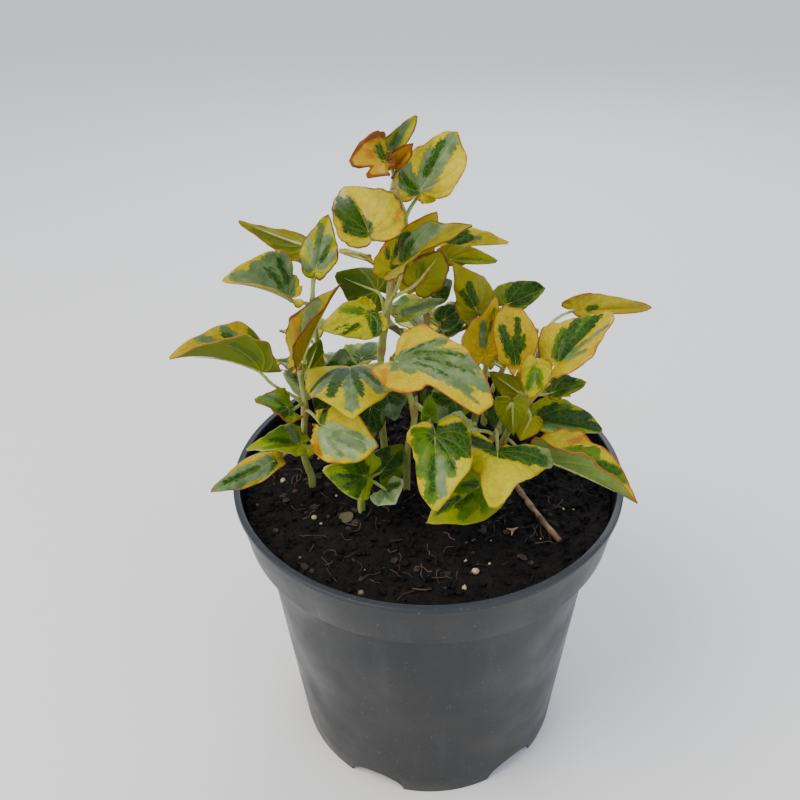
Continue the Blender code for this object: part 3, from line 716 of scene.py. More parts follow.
def streak_depth(place, start, end, half_width):
    """How deep, in millimetres, a place lies in a streak that narrows from its start to its end."""
    run = end - start
    share = min(1, max(0, (place - start).dot(run) / max(run.length_squared, 0.01)))
    return half_width * (1 - (1 - TAPER) * share) - (place - start - share * run).length


MARK_KINDS = (WARM, FRESH, GREY, DARK, PALE)


def make_blades(name, stem):
    """All the blades of a stem, as one piece."""
    shape = bmesh.new()
    fields = {kind: shape.verts.layers.float.new(kind) for kind in MARK_KINDS}
    rim = shape.verts.layers.float.new("rim")
    vein = shape.verts.layers.float.new("vein")
    ray = shape.verts.layers.float_vector.new("ray")
    press = shape.verts.layers.float_vector.new("pressed")
    ground, edge, under = [shape.verts.layers.float_color.new(kind) for kind in ("ground", "edge", "under")]
    for leaf in stem.leaves:
        blade = Blade(leaf)
        streaks = {kind: [blade.streak(mark) for mark in leaf.marks if mark[0] == kind] for kind in MARK_KINDS}
        around = max(40, round(3.1 * blade.length / CELL))
        outwards = max(9, round(0.62 * blade.length / CELL))
        made = bmesh.ops.create_grid(shape, x_segments=around, y_segments=outwards, size=1)
        for vert in made["verts"]:
            angle = vert.co.x * LAST_ANGLE
            reach = (vert.co.y + 1) / 2
            across, along = blade.flat(angle, reach)
            vert.co = blade.point(angle, reach) * MM
            place = Vector((across, along))
            for kind, field in fields.items():
                vert[field] = max((streak_depth(place, *streak) for streak in streaks[kind]), default=-9)
            room = blade.margin(angle) * blade.length * (1 - reach)
            vert[rim] = leaf.rim * RIM_SHARE - room
            vert[vein] = blade.vein_distance(angle, reach)
            from_foot = hypot(across, along)
            vert[ray] = (angle / (1 - VEIN_BEND * reach**1.4) * 0.22, from_foot * 0.5, blade.seed)
            vert[press] = (across, along, blade.seed)
            vert[ground] = linear(leaf.ground)
            vert[edge] = linear(leaf.edge)
            vert[under] = linear(leaf.under)
        faces = list({face for vert in made["verts"] for face in vert.link_faces})
        bmesh.ops.remove_doubles(shape, verts=made["verts"], dist=1e-7)
        faces = [face for face in faces if face.is_valid]
        bmesh.ops.recalc_face_normals(shape, faces=faces)
        if sum((face.normal for face in faces), Vector()).dot(blade.axes.col[2]) < 0:
            bmesh.ops.reverse_faces(shape, faces=faces)
    blades = place_piece(f"{name}_leaves", shape, [leaf_skin, leaf_underside], [name])
    blades.data.shade_smooth()
    thicken = blades.modifiers.new("thicken", "SOLIDIFY")
    thicken.thickness = BLADE_THICKNESS * MM
    thicken.offset = 0
    thicken.material_offset = 1


def point_along(line, share):
    """The point at a share of the line's length."""
    lengths = [(end - start).length for start, end in zip(line, line[1:])]
    rest = share * sum(lengths)
    for start, end, length in zip(line, line[1:], lengths):
        if rest <= length:
            return start.lerp(end, rest / length)
        rest -= length
    return line[-1]


def petiole_line(leaf, line):
    """A leaf stalk's way from the stem to the blade, and on below the blade as its midrib."""
    start = point_along(line, leaf.node)
    blade = Blade(leaf)
    reach = (blade.foot - start).length * PETIOLE_BEND
    arrive = blade.axes @ Vector(PETIOLE_ARRIVAL) * reach
    controls = (start, start + Vector((0, 0, reach)), blade.foot - arrive, blade.foot)
    way = []
    for step in range(PETIOLE_STEPS):
        t = step / PETIOLE_STEPS
        weights = ((1 - t) ** 3, 3 * t * (1 - t) ** 2, 3 * t**2 * (1 - t), t**3)
        way.append(sum((weight * control for weight, control in zip(weights, controls)), Vector()))
    for step in range(MIDRIB_STEPS + 1):
        share = 0.02 + MIDRIB_END * step / MIDRIB_STEPS
        spot = blade.lie(0, share)
        way.append(spot - blade.axes.col[2] * 0.25)
    return way


def make_stalks(name, stem):
    """The stem, its leaf stalks and the raised midribs under its blades, as one piece."""
    shape = bmesh.new()
    flush = shape.verts.layers.float.new("flush")
    (x, y), *above = stem.path
    line = smooth_path([(x, y, STAND_HEIGHT), *above], STEM_STEPS)
    rooted = [Vector((x, y, ROOT_HEIGHT)), *line]
    last = len(rooted) - 1
    nodes = [point_along(line, leaf.node) for leaf in stem.leaves]
    radii = []
    nearness = []
    for step, place in enumerate(rooted):
        near = max(exp(-((place - spot).length / NODE_LENGTH) ** 2) for spot in nodes)
        radius = STEM_FOOT_RADIUS - (STEM_FOOT_RADIUS - STEM_TIP_RADIUS) * step / last
        radii.append(radius * (1 + NODE_SWELLING * near))
        nearness.append(near)
    for ring, near in zip(rod(shape, rooted, radii, STEM_SIDES), nearness):
        for vert in ring:
            if vert.is_valid:
                vert[flush] = 0.35 + 0.65 * near
    for index, leaf in enumerate(stem.leaves):
        way = petiole_line(leaf, line)
        radii = []
        for step in range(PETIOLE_STEPS):
            share = step / PETIOLE_STEPS
            radii.append(PETIOLE_RADIUS * (1 - 0.15 * share) + (PETIOLE_FOOT_RADIUS - PETIOLE_RADIUS) * (1 - share) ** 4)
        for step in range(MIDRIB_STEPS + 1):
            radii.append(0.6 * (1 - 0.85 * step / MIDRIB_STEPS))
        for step, ring in enumerate(rod(shape, way, radii, 8)):
            for vert in ring:
                if vert.is_valid:
                    vert[flush] = 0.8 * max(0, 1 - step / 3) + 0.3 * (0.5 + 0.5 * sin(blade_phase(leaf)))
    stalks = place_piece(f"{name}_stalks", shape, [stalk_skin], [name])
    stalks.data.shade_smooth()


def blade_phase(leaf):
    return leaf.foot[0] * 0.7 + leaf.foot[2] * 0.3


def attribute(material, name, output="Fac"):
    return add_node(material, "ShaderNodeAttribute", attribute_name=name).outputs[output]


def math(material, operation, *values, **settings):
    inputs = dict(enumerate(values))
    return add_node(material, "ShaderNodeMath", inputs, operation=operation, **settings).outputs["Value"]


def blend(material, share, low, high):
    return add_node(material, "ShaderNodeMix", {0: share, 6: low, 7: high}, data_type="RGBA").outputs[2]


def ramp(material, value, low, high, start=0.0, end=1.0):
    inputs = {"Value": value, "From Min": low, "From Max": high, "To Min": start, "To Max": end}
    made = add_node(material, "ShaderNodeMapRange", inputs)
    return made.outputs["Result"]


def leaf_material(name, colour, roughness, upper):
    """Living leaf: waxy, a little translucent, coloured by its marks."""
    material = new_material(name)
    ray = attribute(material, "ray", "Vector")
    pressed = attribute(material, "pressed", "Vector")
    vein = attribute(material, "vein")
    feather = add_node(material, "ShaderNodeTexNoise", {"Vector": ray, "Scale": 1.0, "Detail": 4.0, "Roughness": 0.6})
    cloud = add_node(material, "ShaderNodeTexNoise", {"Vector": pressed, "Scale": 0.22, "Detail": 3.0})
    speckle = add_node(material, "ShaderNodeTexNoise", {"Vector": pressed, "Scale": 1.6, "Detail": 4.0})
    ragged = math(material, "SUBTRACT", feather.outputs["Fac"], 0.5)
    rough_edge = math(material, "MULTIPLY", ragged, 4.0)
    fine_edge = math(material, "MULTIPLY", math(material, "SUBTRACT", speckle.outputs["Fac"], 0.5), 1.2)
    jitter = math(material, "ADD", rough_edge, fine_edge)
    cells = add_node(material, "ShaderNodeTexVoronoi", {"Vector": pressed, "Scale": 0.42}, feature="DISTANCE_TO_EDGE")
    shade = colour(material, cloud.outputs["Fac"], speckle.outputs["Fac"], jitter, vein)
    net = ramp(material, cells.outputs["Distance"], 0.0, 0.12, 0.3, 0.0)
    shade = blend(material, net, shade, linear("#86842A"))
    shade = add_node(material, "ShaderNodeHueSaturation", {
        "Color": shade, "Hue": 0.508, "Saturation": 1.5, "Value": 0.66,
    }).outputs["Color"]
    patchy = math(material, "MULTIPLY", math(material, "SUBTRACT", cloud.outputs["Fac"], 0.5), 1.8)
    frayed = math(material, "ADD", patchy, math(material, "MULTIPLY", jitter, 0.25))
    reddened = math(material, "ADD", attribute(material, "rim"), frayed)
    red = add_node(material, "ShaderNodeHueSaturation", {
        "Color": attribute(material, "edge", "Color"), "Saturation": 1.1, "Value": 0.6,
    }).outputs["Color"]
    shade = blend(material, ramp(material, reddened, -0.3, 0.45, 0.0, 0.8), shade, red)
    quilt = ramp(material, cells.outputs["Distance"], 0.0, 0.35)
    line = ramp(material, vein, 0.0, 0.7)
    relief = math(material, "ADD", math(material, "MULTIPLY", quilt, 0.45), line)
    if not upper:
        relief = math(material, "MULTIPLY", relief, -1.0)
    bump = add_node(material, "ShaderNodeBump", {"Height": relief, "Strength": 0.55, "Distance": 0.25 * MM})
    grain = add_node(material, "ShaderNodeBump", {
        "Height": speckle.outputs["Fac"], "Strength": 0.25, "Distance": 0.1 * MM, "Normal": bump.outputs["Normal"],
    })
    return finish_material(
        material, Base_Color=shade, Roughness=roughness, Normal=grain.outputs["Normal"],
        Subsurface_Weight=0.03, Subsurface_Scale=0.6 * MM, Specular_IOR_Level=0.2,
    )


def upper_colour(material, cloud, speckle, jitter, vein):
    """Ground colour, then warm, pale, fresh green, grey-green and dark green marks, with the veins in each."""
    ground = attribute(material, "ground", "Color")
    deep = add_node(material, "ShaderNodeMix", {
        0: 1.0, 6: ground, 7: linear("#E0D898"),
    }, data_type="RGBA", blend_type="MULTIPLY").outputs[2]
    colour = blend(material, ramp(material, cloud, 0.45, 0.8), ground, deep)
    colour = blend(material, ramp(material, speckle, 0.58, 0.8, 0.0, 0.35), colour, linear("#97A02A"))
    colour = blend(material, ramp(material, vein, 0.1, 0.5, 0.3, 0.0), colour, linear("#A6A62C"))
    marks = (
        (WARM, linear("#C67A24"), linear("#D9A028")), (PALE, linear("#93A686"), linear("#B6C19C")),
        (FRESH, linear("#4A6B1E"), linear("#6E902C")), (GREY, linear("#66795F"), linear("#929F84")),
        (DARK, linear("#27461F"), linear("#3F5F30")),
    )
    for kind, low, high in marks:
        depth = math(material, "ADD", attribute(material, kind), jitter)
        tone = blend(material, ramp(material, cloud, 0.35, 0.7), low, high)
        tone = blend(material, ramp(material, vein, 0.1, 0.4, 0.3, 0.0), tone, linear("#A4B27C"))
        colour = blend(material, ramp(material, depth, -0.3, 0.4), colour, tone)
    return colour


def under_colour(material, cloud, speckle, jitter, vein):
    """Paler and duller than the upper side: its marks show through only faintly."""
    under = attribute(material, "under", "Color")
    colour = blend(material, ramp(material, cloud, 0.35, 0.7, 0.0, 0.35), under, linear("#6E7640"))
    depth = math(material, "ADD", attribute(material, "dark"), jitter)
    colour = blend(material, ramp(material, depth, -0.4, 0.5, 0.0, 0.65), colour, linear("#4C6040"))
    return blend(material, ramp(material, vein, 0.15, 0.5, 0.5, 0.0), colour, linear("#A9AE62"))


def stalk_material():
    """Fresh stalk skin: smooth and a little glossy, yellow-green, red where the light and the nodes flush it."""
    material = new_material("fresh_stalk_skin")
    place = add_node(material, "ShaderNodeTexCoord").outputs["Object"]
    mottle = add_node(material, "ShaderNodeTexNoise", {"Vector": place, "Scale": 260.0, "Detail": 3.0})
    streaks = add_node(material, "ShaderNodeMapping", {"Vector": place, "Scale": (900.0, 900.0, 60.0)})
    streak = add_node(material, "ShaderNodeTexNoise", {"Vector": streaks.outputs["Vector"], "Scale": 1.0})
    flush = math(material, "ADD", attribute(material, "flush"), math(material, "SUBTRACT", mottle.outputs["Fac"], 0.5))
    colour = blend(material, ramp(material, streak.outputs["Fac"], 0.35, 0.7), linear("#8A9644"), linear("#B6B866"))
    colour = blend(material, ramp(material, flush, 0.45, 1.1, 0.0, 0.7), colour, linear("#966038"))
    bump = add_node(material, "ShaderNodeBump", {
        "Height": streak.outputs["Fac"], "Strength": 0.3, "Distance": 0.1 * MM,
    })
    return finish_material(material, Base_Color=colour, Roughness=0.42, Normal=bump.outputs["Normal"])


leaf_skin = leaf_material("waxy_leaf_upper_side", upper_colour, 0.42, True)
leaf_underside = leaf_material("matt_leaf_underside", under_colour, 0.58, False)
stalk_skin = stalk_material()


def make_leafy_stem(name, stem):
    make_stalks(name, stem)
    make_blades(name, stem)

# The crown, the tallest stem. It is fresh, soft growth that stands by itself in the compost, and its newest
# leaves at the top are small, upright and flushed with orange and red.
make_leafy_stem("stem_crown", Stem(
    path=((-19, 10), (-20, 9, 168), (-19, 6, 198), (-15, 2, 225), (-11, 0, 247), (-8, 3, 259), (-12, 1, 271)),
    leaves=(
        Leaf(
            0.99, (-14, -12, 285), (-27, -16, 286), FRONT, 18, fold=20, arch=70, wave=1.6,
            ground="#D8A41E", rim=1.8, under="#C07A34",
            marks=(
                (DARK, 45, 0.1, 0.5, 1.2), (FRESH, 60, 0.3, 0.7, 0.5), (WARM, 15, 0.5, 0.95, 1.6),
                (WARM, 50, 0.6, 1, 1.2),
            ),
            stretch=(
                (-160, 0.5), (-90, 0.5), (-60, 0.95), (-38, 1.25), (-20, 0.6), (-5, 0.95), (0, 1), (30, 1),
                (60, 0.95), (90, 0.8), (120, 0.5), (160, 0.45),
            ),
        ),
        Leaf(
            1.00, (-10, -5, 281), (-4, -9, 290), FRONT, 10, fold=36, cup=20, arch=0,
            ground="#DA9A44", rim=1.2, under="#C8702F",
            marks=((WARM, -30, 0.2, 0.9, 2),),
            stretch=((-90, 1), (-50, 1.25), (-20, 1.15), (0, 1), (30, 1.15), (60, 1.1)),
        ),
        Leaf(
            0.97, (-13, 12, 280), (-3, 14, 294), FRONT, 11, fold=30, arch=20, twist=50,
            ground="#A9A557", rim=0.7, under="#9C9A52",
            marks=((GREY, -20, 0.3, 0.9, 1.8), (DARK, -40, 0.4, 0.8, 0.6)),
            stretch=((-30, 1), (0, 1), (40, 0.7), (160, 0.7)),
        ),
        Leaf(
            0.88, (-2, 5, 269), (11, 10, 289), FRONT, 22, fold=4, arch=20, wave=1.6,
            ground=YELLOW, edge="#B9602C", rim=0.4, under="#B9A22C",
            marks=(
                (GREY, 0, 0.15, 0.85, 2.6), (DARK, -12, 0.3, 0.8, 1.2), (GREY, -25, 0.3, 0.75, 1.6),
                (GREY, -110, 0.2, 0.9, 2.2), (DARK, -125, 0.3, 0.9, 1.6), (GREY, -90, 0.3, 0.9, 1.6),
                (GREY, -145, 0.3, 0.8, 1.4),
            ),
            stretch=((-160, 1), (-30, 1), (-12, 1.1), (0, 1), (30, 1.25), (60, 1), (90, 0.6), (160, 0.5)),
        ),
        Leaf(
            0.86, (-20, -18, 262), (-29, -2, 274), (0.3, -0.6, 0.8), 29, fold=24, arch=20,
            ground="#E2C51C", under="#A2A03A",
            marks=(
                (DARK, -25, 0.15, 0.85, 2.6), (DARK, -50, 0.2, 0.85, 2.4), (DARK, -75, 0.2, 0.85, 2),
                (DARK, -100, 0.3, 0.7, 1.6), (DARK, -5, 0.25, 0.75, 1.2), (WARM, 110, 0.7, 1, 1),
            ),
        ),
        Leaf(
            0.72, (-20, 4, 241), (-33, -3, 250), (0.5, 0.0, 0.8), 13, fold=10, arch=20, wave=0.6,
            ground=CREAM, edge=PINK, rim=0.8, under="#B98A5A",
            marks=((DARK, -10, 0.3, 0.9, 0.9),),
            stretch=((0, 1), (30, 0.4), (160, 0.4)),
        ),
        Leaf(
            0.68, (-10, -5, 242), (4, -1, 263), FRONT, 21, arch=24, wave=1.0,
            ground="#B8A820", edge="#C2502A", rim=0.8, under="#8E9030",
            marks=(
                (DARK, -30, 0.1, 0.7, 2.6), (DARK, -45, 0.3, 0.6, 1.6), (DARK, -90, 0.6, 0.8, 0.8),
                (WARM, -100, 0.7, 0.95, 1.2),
            ),
        ),
        Leaf(
            0.45, (-8, -19, 251), (16, -20, 266), (-0.5, -0.5, 0.8), 19, fold=35, arch=20,
            ground="#A79A45", rim=0.6, under="#A39A52",
            marks=(
                (GREY, -45, 0.35, 0.9, 2.2), (GREY, -25, 0.5, 0.9, 1.2), (DARK, -80, 0.3, 0.8, 1.4),
                (DARK, -50, 0.3, 0.6, 1),
            ),
            stretch=((-160, 0.5), (-60, 0.5), (-30, 1), (0, 1)),
        ),
        Leaf(
            0.58, (-3, -11, 240), (6, -10, 252), AWAY, 15, fold=10, arch=24,
            ground="#A39A24", rim=0.9, under="#97902A",
            marks=((DARK, 30, 0.2, 0.6, 1.2),),
            stretch=((-90, 1), (-60, 1.15), (-30, 1.15), (0, 1)),
        ),
        Leaf(
            0.55, (-20, 8, 227), (-37, 12, 233), AWAY, 20, arch=24,
            ground="#6B7A34", edge="#7C8438", rim=0.3, under="#56652B",
            marks=((DARK, 10, 0.1, 0.8, 4),),
        ),
        Leaf(
            0.50, (-22, -7, 225), (-41, -12, 221), FRONT, 21, fold=18, arch=24,
            ground="#CBC22A", edge="#B6A83A", rim=0.3, under="#8E9440",
            marks=(
                (DARK, -35, 0.5, 1, 0.8), (DARK, -15, 0.6, 0.9, 0.5), (DARK, -130, 0.2, 0.9, 2),
                (FRESH, 30, 0.3, 0.8, 1.2),
            ),
            stretch=((-60, 1), (0, 1), (30, 0.9), (60, 0.6), (160, 0.6)),
        ),
        Leaf(
            0.36, (-17, -3, 186), (-13, -15, 180), (0.1, -0.5, 0.9), 18,
            ground="#7C9068", edge="#9AAA70", rim=0.3, under=SAGE_UNDER,
            marks=SHADED,
        ),
        Leaf(
            0.62, (-12, 18, 227), (-20, 38, 220), (0.0, 0.3, 1.0), 18, arch=36,
            ground="#C4B830", rim=0.6,
            marks=BANDED,
        ),
        Leaf(0.3, (-24, 0, 176), (-27, -8, 161), FRONT, 15, arch=24, ground="#6E8444", rim=0.3, marks=SHADED),
    ),
))

# The stem left of the crown, fresh growth rooted in the compost like the rest. It has two pale leaves near
# its top, and one leaf that shows its olive back.
make_leafy_stem("stem_centre_left", Stem(
    path=((-31, 12), (-35, 10, 163), (-41, 6, 183), (-44, 1, 206), (-44, -3, 229)),
    leaves=(
        Leaf(
            1.00, (-42, -2, 241), (-37, 10, 258), FRONT, 17, fold=14, arch=16,
            ground="#C6C265", rim=0.8, under="#B07A4A",
            marks=(
                (GREY, 15, 0.2, 0.7, 2), (DARK, 25, 0.3, 0.65, 0.8), (GREY, -10, 0.25, 0.85, 1.2),
                (PALE, -45, 0.2, 0.9, 1.6), (GREY, 60, 0.3, 0.8, 1.4), (GREY, -110, 0.5, 0.9, 1.2),
            ),
            stretch=((-160, 0.6), (-100, 0.6), (-50, 1), (50, 1), (100, 0.6), (160, 0.6)),
        ),
        Leaf(
            0.94, (-52, -11, 234), (-74, -18, 246), (0.5, -0.3, 0.8), 31, fold=42, arch=20, wave=1.0,
            ground="#DCC93A", edge="#C9832F", rim=0.4, under=SAGE_UNDER,
            marks=(
                (GREY, 25, 0.2, 0.8, 2.6), (GREY, 50, 0.2, 0.85, 2.6), (GREY, 80, 0.2, 0.9, 2),
                (DARK, 35, 0.3, 0.7, 1), (DARK, 65, 0.4, 0.8, 1), (GREY, 110, 0.3, 0.9, 1.4),
                (GREY, 5, 0.2, 0.85, 2.6), (GREY, -25, 0.2, 0.85, 2.4),
            ),
            stretch=(
                (-160, 0.6), (-80, 0.7), (-40, 1.3), (-20, 1.3), (0, 1), (50, 1), (80, 0.6), (160, 0.6),
            ),
        ),
        Leaf(
            0.98, (-48, 14, 244), (-74, 18, 254), (0.0, 0.6, -0.8), 13, fold=30, arch=24,
            ground="#A69A35", edge="#B2523A", rim=0.7, under="#8C8232",
            marks=((DARK, 15, 0.3, 0.9, 1.6), (DARK, 50, 0.3, 0.8, 1.2)),
        ),
        Leaf(
            0.45, (-48, -8, 199), (-42, -7, 214), AWAY, 10, fold=16, arch=20, wave=0.7,
            ground="#7C8436", edge="#8E8A3A", rim=0.3, under="#666E2C",
            marks=((DARK, 0, 0, 0.7, 2.5),),
        ),
        Leaf(
            0.62, (-50, 15, 204), (-60, 34, 196), (-0.2, 0.3, 1.0), 22, fold=14, arch=34,
            ground="#C9BC33",
            marks=RIBBED,
        ),
        Leaf(0.3, (-40, 2, 182), (-46, -4, 169), FRONT, 14, arch=24, ground="#6E8444", rim=0.3, marks=SHADED),
    ),
))

# The left stem. A long leaf, folded along its midrib, reaches out over the rim on its stalk, and broad leaves
# with grey-green middles hang below it.
make_leafy_stem("stem_left", Stem(
    path=((-51, -5), (-53, -8, 160), (-50, -10, 183), (-50, -13, 204)),
    leaves=(
        Leaf(
            1.00, (-46, -27, 217), (-31, -26, 247), (-0.8, -0.4, 0.4), 18, fold=50, arch=10,
            ground="#BCAA38", rim=1.1, under="#96753C",
            marks=((GREY, -25, 0.4, 0.95, 1.8), (WARM, -60, 0.4, 0.9, 1.6), (DARK, -15, 0.3, 0.6, 0.8)),
            stretch=((-160, 0.7), (-100, 0.7), (-60, 1), (60, 1), (100, 0.7), (160, 0.7)),
        ),
        Leaf(
            0.62, (-64, -18, 206), (-97, -30, 220), (0.3, 0.3, 1.0), 34, fold=54, arch=34, wave=1.0,
            ground="#D6B82E", edge="#C07A50", under="#77834E",
            marks=(
                (GREY, 25, 0.4, 0.95, 1.6), (GREY, 50, 0.5, 0.9, 1.6), (DARK, 40, 0.4, 0.8, 1.2),
                (FRESH, 90, 0.5, 0.9, 1.6), (GREY, -25, 0.3, 0.9, 2.4), (DARK, -45, 0.4, 0.8, 1.6),
                (FRESH, -90, 0.3, 0.8, 1.6),
            ),
            stretch=((-160, 0.6), (-100, 0.6), (-50, 0.95), (50, 0.95), (100, 0.6), (160, 0.6)),
        ),
        Leaf(
            0.66, (-54, -24, 193), (-66, -31, 200), (0.5, 0.0, 0.8), 17, fold=5, arch=24, wave=0.8,
            ground="#7C9030", edge="#A84A2C", under="#8C8A44",
            marks=(
                (FRESH, 45, 0.3, 0.9, 2.6), (FRESH, 20, 0.5, 0.8, 1.5), (DARK, 30, 0.4, 0.8, 1),
                (WARM, 60, 0.3, 0.7, 1.2), (FRESH, -30, 0.1, 0.9, 3), (DARK, -60, 0.2, 0.9, 2),
            ),
        ),
        Leaf(
            0.45, (-53, -18, 171), (-72, -30, 177), (0.4, -0.2, 0.9), 15, fold=25,
            ground="#A9B548", edge="#C2C878", rim=0.3, under=SAGE_UNDER,
            marks=(
                (FRESH, 30, 0.2, 0.85, 2.2), (FRESH, 60, 0.2, 0.85, 2), (GREY, 90, 0.3, 0.8, 1.6),
                (DARK, 20, 0.3, 0.7, 0.8), (FRESH, -20, 0.2, 0.8, 1.4),
            ),
            stretch=((-140, 1), (-120, 1.2), (-30, 1.2), (0, 1)),
        ),
        Leaf(
            0.30, (-62, -24, 167), (-86, -36, 160), (0.0, -0.7, 0.7), 14, fold=-8, arch=34, wave=1.5,
            ground="#DCC27A", edge="#C98463", rim=0.7, under=SAGE_UNDER,
            marks=(
                (GREY, 0, 0.1, 0.9, 2.6), (GREY, 20, 0.2, 0.7, 1.8), (GREY, -15, 0.3, 0.9, 1.8),
                (DARK, 5, 0.3, 0.8, 1), (GREY, -60, 0.2, 0.75, 1.4), (DARK, -80, 0.2, 0.6, 0.8),
            ),
            stretch=((-160, 0.6), (-80, 0.6), (-50, 0.85), (-20, 1), (60, 1), (100, 0.6), (160, 0.6)),
        ),
        Leaf(
            0.60, (-41, -26, 186), (-18, -40, 186), FRONT, 28, fold=6, arch=20, wave=1.4,
            ground="#DCC83E", edge="#CC6E44", rim=0.6, under="#A9A060",
            marks=(
                (PALE, 0, 0.15, 0.95, 3), (PALE, 25, 0.15, 0.85, 3.2), (PALE, 45, 0.2, 0.8, 3),
                (PALE, 65, 0.2, 0.7, 2.2), (GREY, 10, 0.35, 0.85, 1.6), (GREY, -5, 0.5, 0.8, 1),
                (GREY, 40, 0.4, 0.8, 1), (DARK, -130, 0.2, 0.8, 1.4), (WARM, 95, 0.5, 0.95, 1.6),
            ),
            stretch=(
                (-160, 0.5), (-100, 0.5), (-60, 1), (0, 1), (20, 1.15), (50, 1), (80, 0.6), (160, 0.6),
            ),
        ),
        Leaf(
            0.70, (-49, 1, 188), (-60, 0, 195), FRONT, 14, fold=14, arch=24, wave=0.7,
            ground="#C3CBA4", edge="#C9CFAE", rim=0.4, under=SAGE_UNDER,
            marks=((GREY, 10, 0.1, 0.8, 2.4), (DARK, 5, 0.1, 0.6, 0.9)),
        ),
    ),
))

# A short stem between the left one and the middle, rooted in the compost. Its lobed leaf faces up and is
# streaked with grey and dark green.
make_leafy_stem("stem_middle_left", Stem(
    path=((-34, -4), (-35, -5, 167), (-33, -8, 187), (-31, -9, 199)),
    leaves=(
        Leaf(
            1.00, (-30, -14, 205), (-27, -42, 205), (0.0, 0.0, 1.0), 36, fold=8, cup=-20, arch=40,
            wave=1.4,
            ground="#D6C233", edge="#C9A03A", rim=0.4, under=SAGE_UNDER,
            marks=(
                (GREY, 0, 0.1, 0.85, 2.4), (DARK, -10, 0.15, 0.8, 1.2), (DARK, 20, 0.2, 0.85, 2),
                (GREY, 40, 0.2, 0.9, 2.2), (GREY, -30, 0.15, 0.85, 2.6), (DARK, -35, 0.2, 0.8, 1.2),
                (GREY, -60, 0.2, 0.8, 1.6), (DARK, 60, 0.3, 0.9, 1.4),
            ),
            stretch=((-60, 1), (-20, 1.25), (20, 1.25), (60, 1)),
        ),
        Leaf(
            0.85, (-35, -3, 193), (-34, 1, 206), FRONT, 17, arch=20,
            ground="#B9C28A", edge="#C9CFAE", rim=0.3, under=SAGE_UNDER,
            marks=SHADED,
        ),
    ),
))

# A low side shoot at the front left. Three small leaves, darker than the rest for want of light, hang on
# short stalks just over the compost.
make_leafy_stem("stem_front_left", Stem(
    path=((-28, -22), (-27, -23, 150), (-24, -24, 157)),
    leaves=(
        Leaf(
            1.00, (-25, -30, 164), (-41, -38, 174), FRONT, 20, arch=24,
            ground="#A6B53E", edge="#C6C98A", rim=0.3, under=SAGE_UNDER,
            marks=(
                (FRESH, -15, 0.2, 0.9, 1.6), (DARK, -10, 0.2, 0.7, 0.9), (FRESH, -40, 0.2, 0.9, 1.8),
                (DARK, -45, 0.2, 0.8, 1), (FRESH, -75, 0.2, 0.9, 1.8), (DARK, -90, 0.2, 0.9, 1),
                (FRESH, 30, 0.2, 0.9, 2.4), (DARK, 60, 0.2, 0.9, 2),
            ),
        ),
        Leaf(
            0.80, (-19, -17, 156), (-10, -10, 165), FRONT, 17, fold=14, arch=24, wave=0.8,
            ground="#7C9048", edge="#A9B878", rim=0.3, under=SAGE_UNDER,
            marks=(
                (DARK, -45, 0.1, 0.9, 3), (DARK, 20, 0.1, 0.85, 2.4), (DARK, -100, 0.1, 0.8, 2.2),
                (FRESH, 60, 0.3, 0.8, 1),
            ),
        ),
        Leaf(
            0.90, (-17, -28, 155), (-13, -36, 155), (-0.4, -0.4, 0.9), 13, fold=8, arch=24, wave=0.5,
            ground="#B2C39E", edge="#CCD6BA", under=SAGE_UNDER,
            marks=((DARK, -60, 0.1, 0.7, 1.6), (GREY, 60, 0.1, 0.8, 1.6), (GREY, 0, 0.2, 0.7, 1.4)),
            stretch=((-90, 1.1), (-60, 1.35), (-30, 1.35), (0, 1.15), (30, 1.2), (90, 1.1)),
        ),
    ),
))

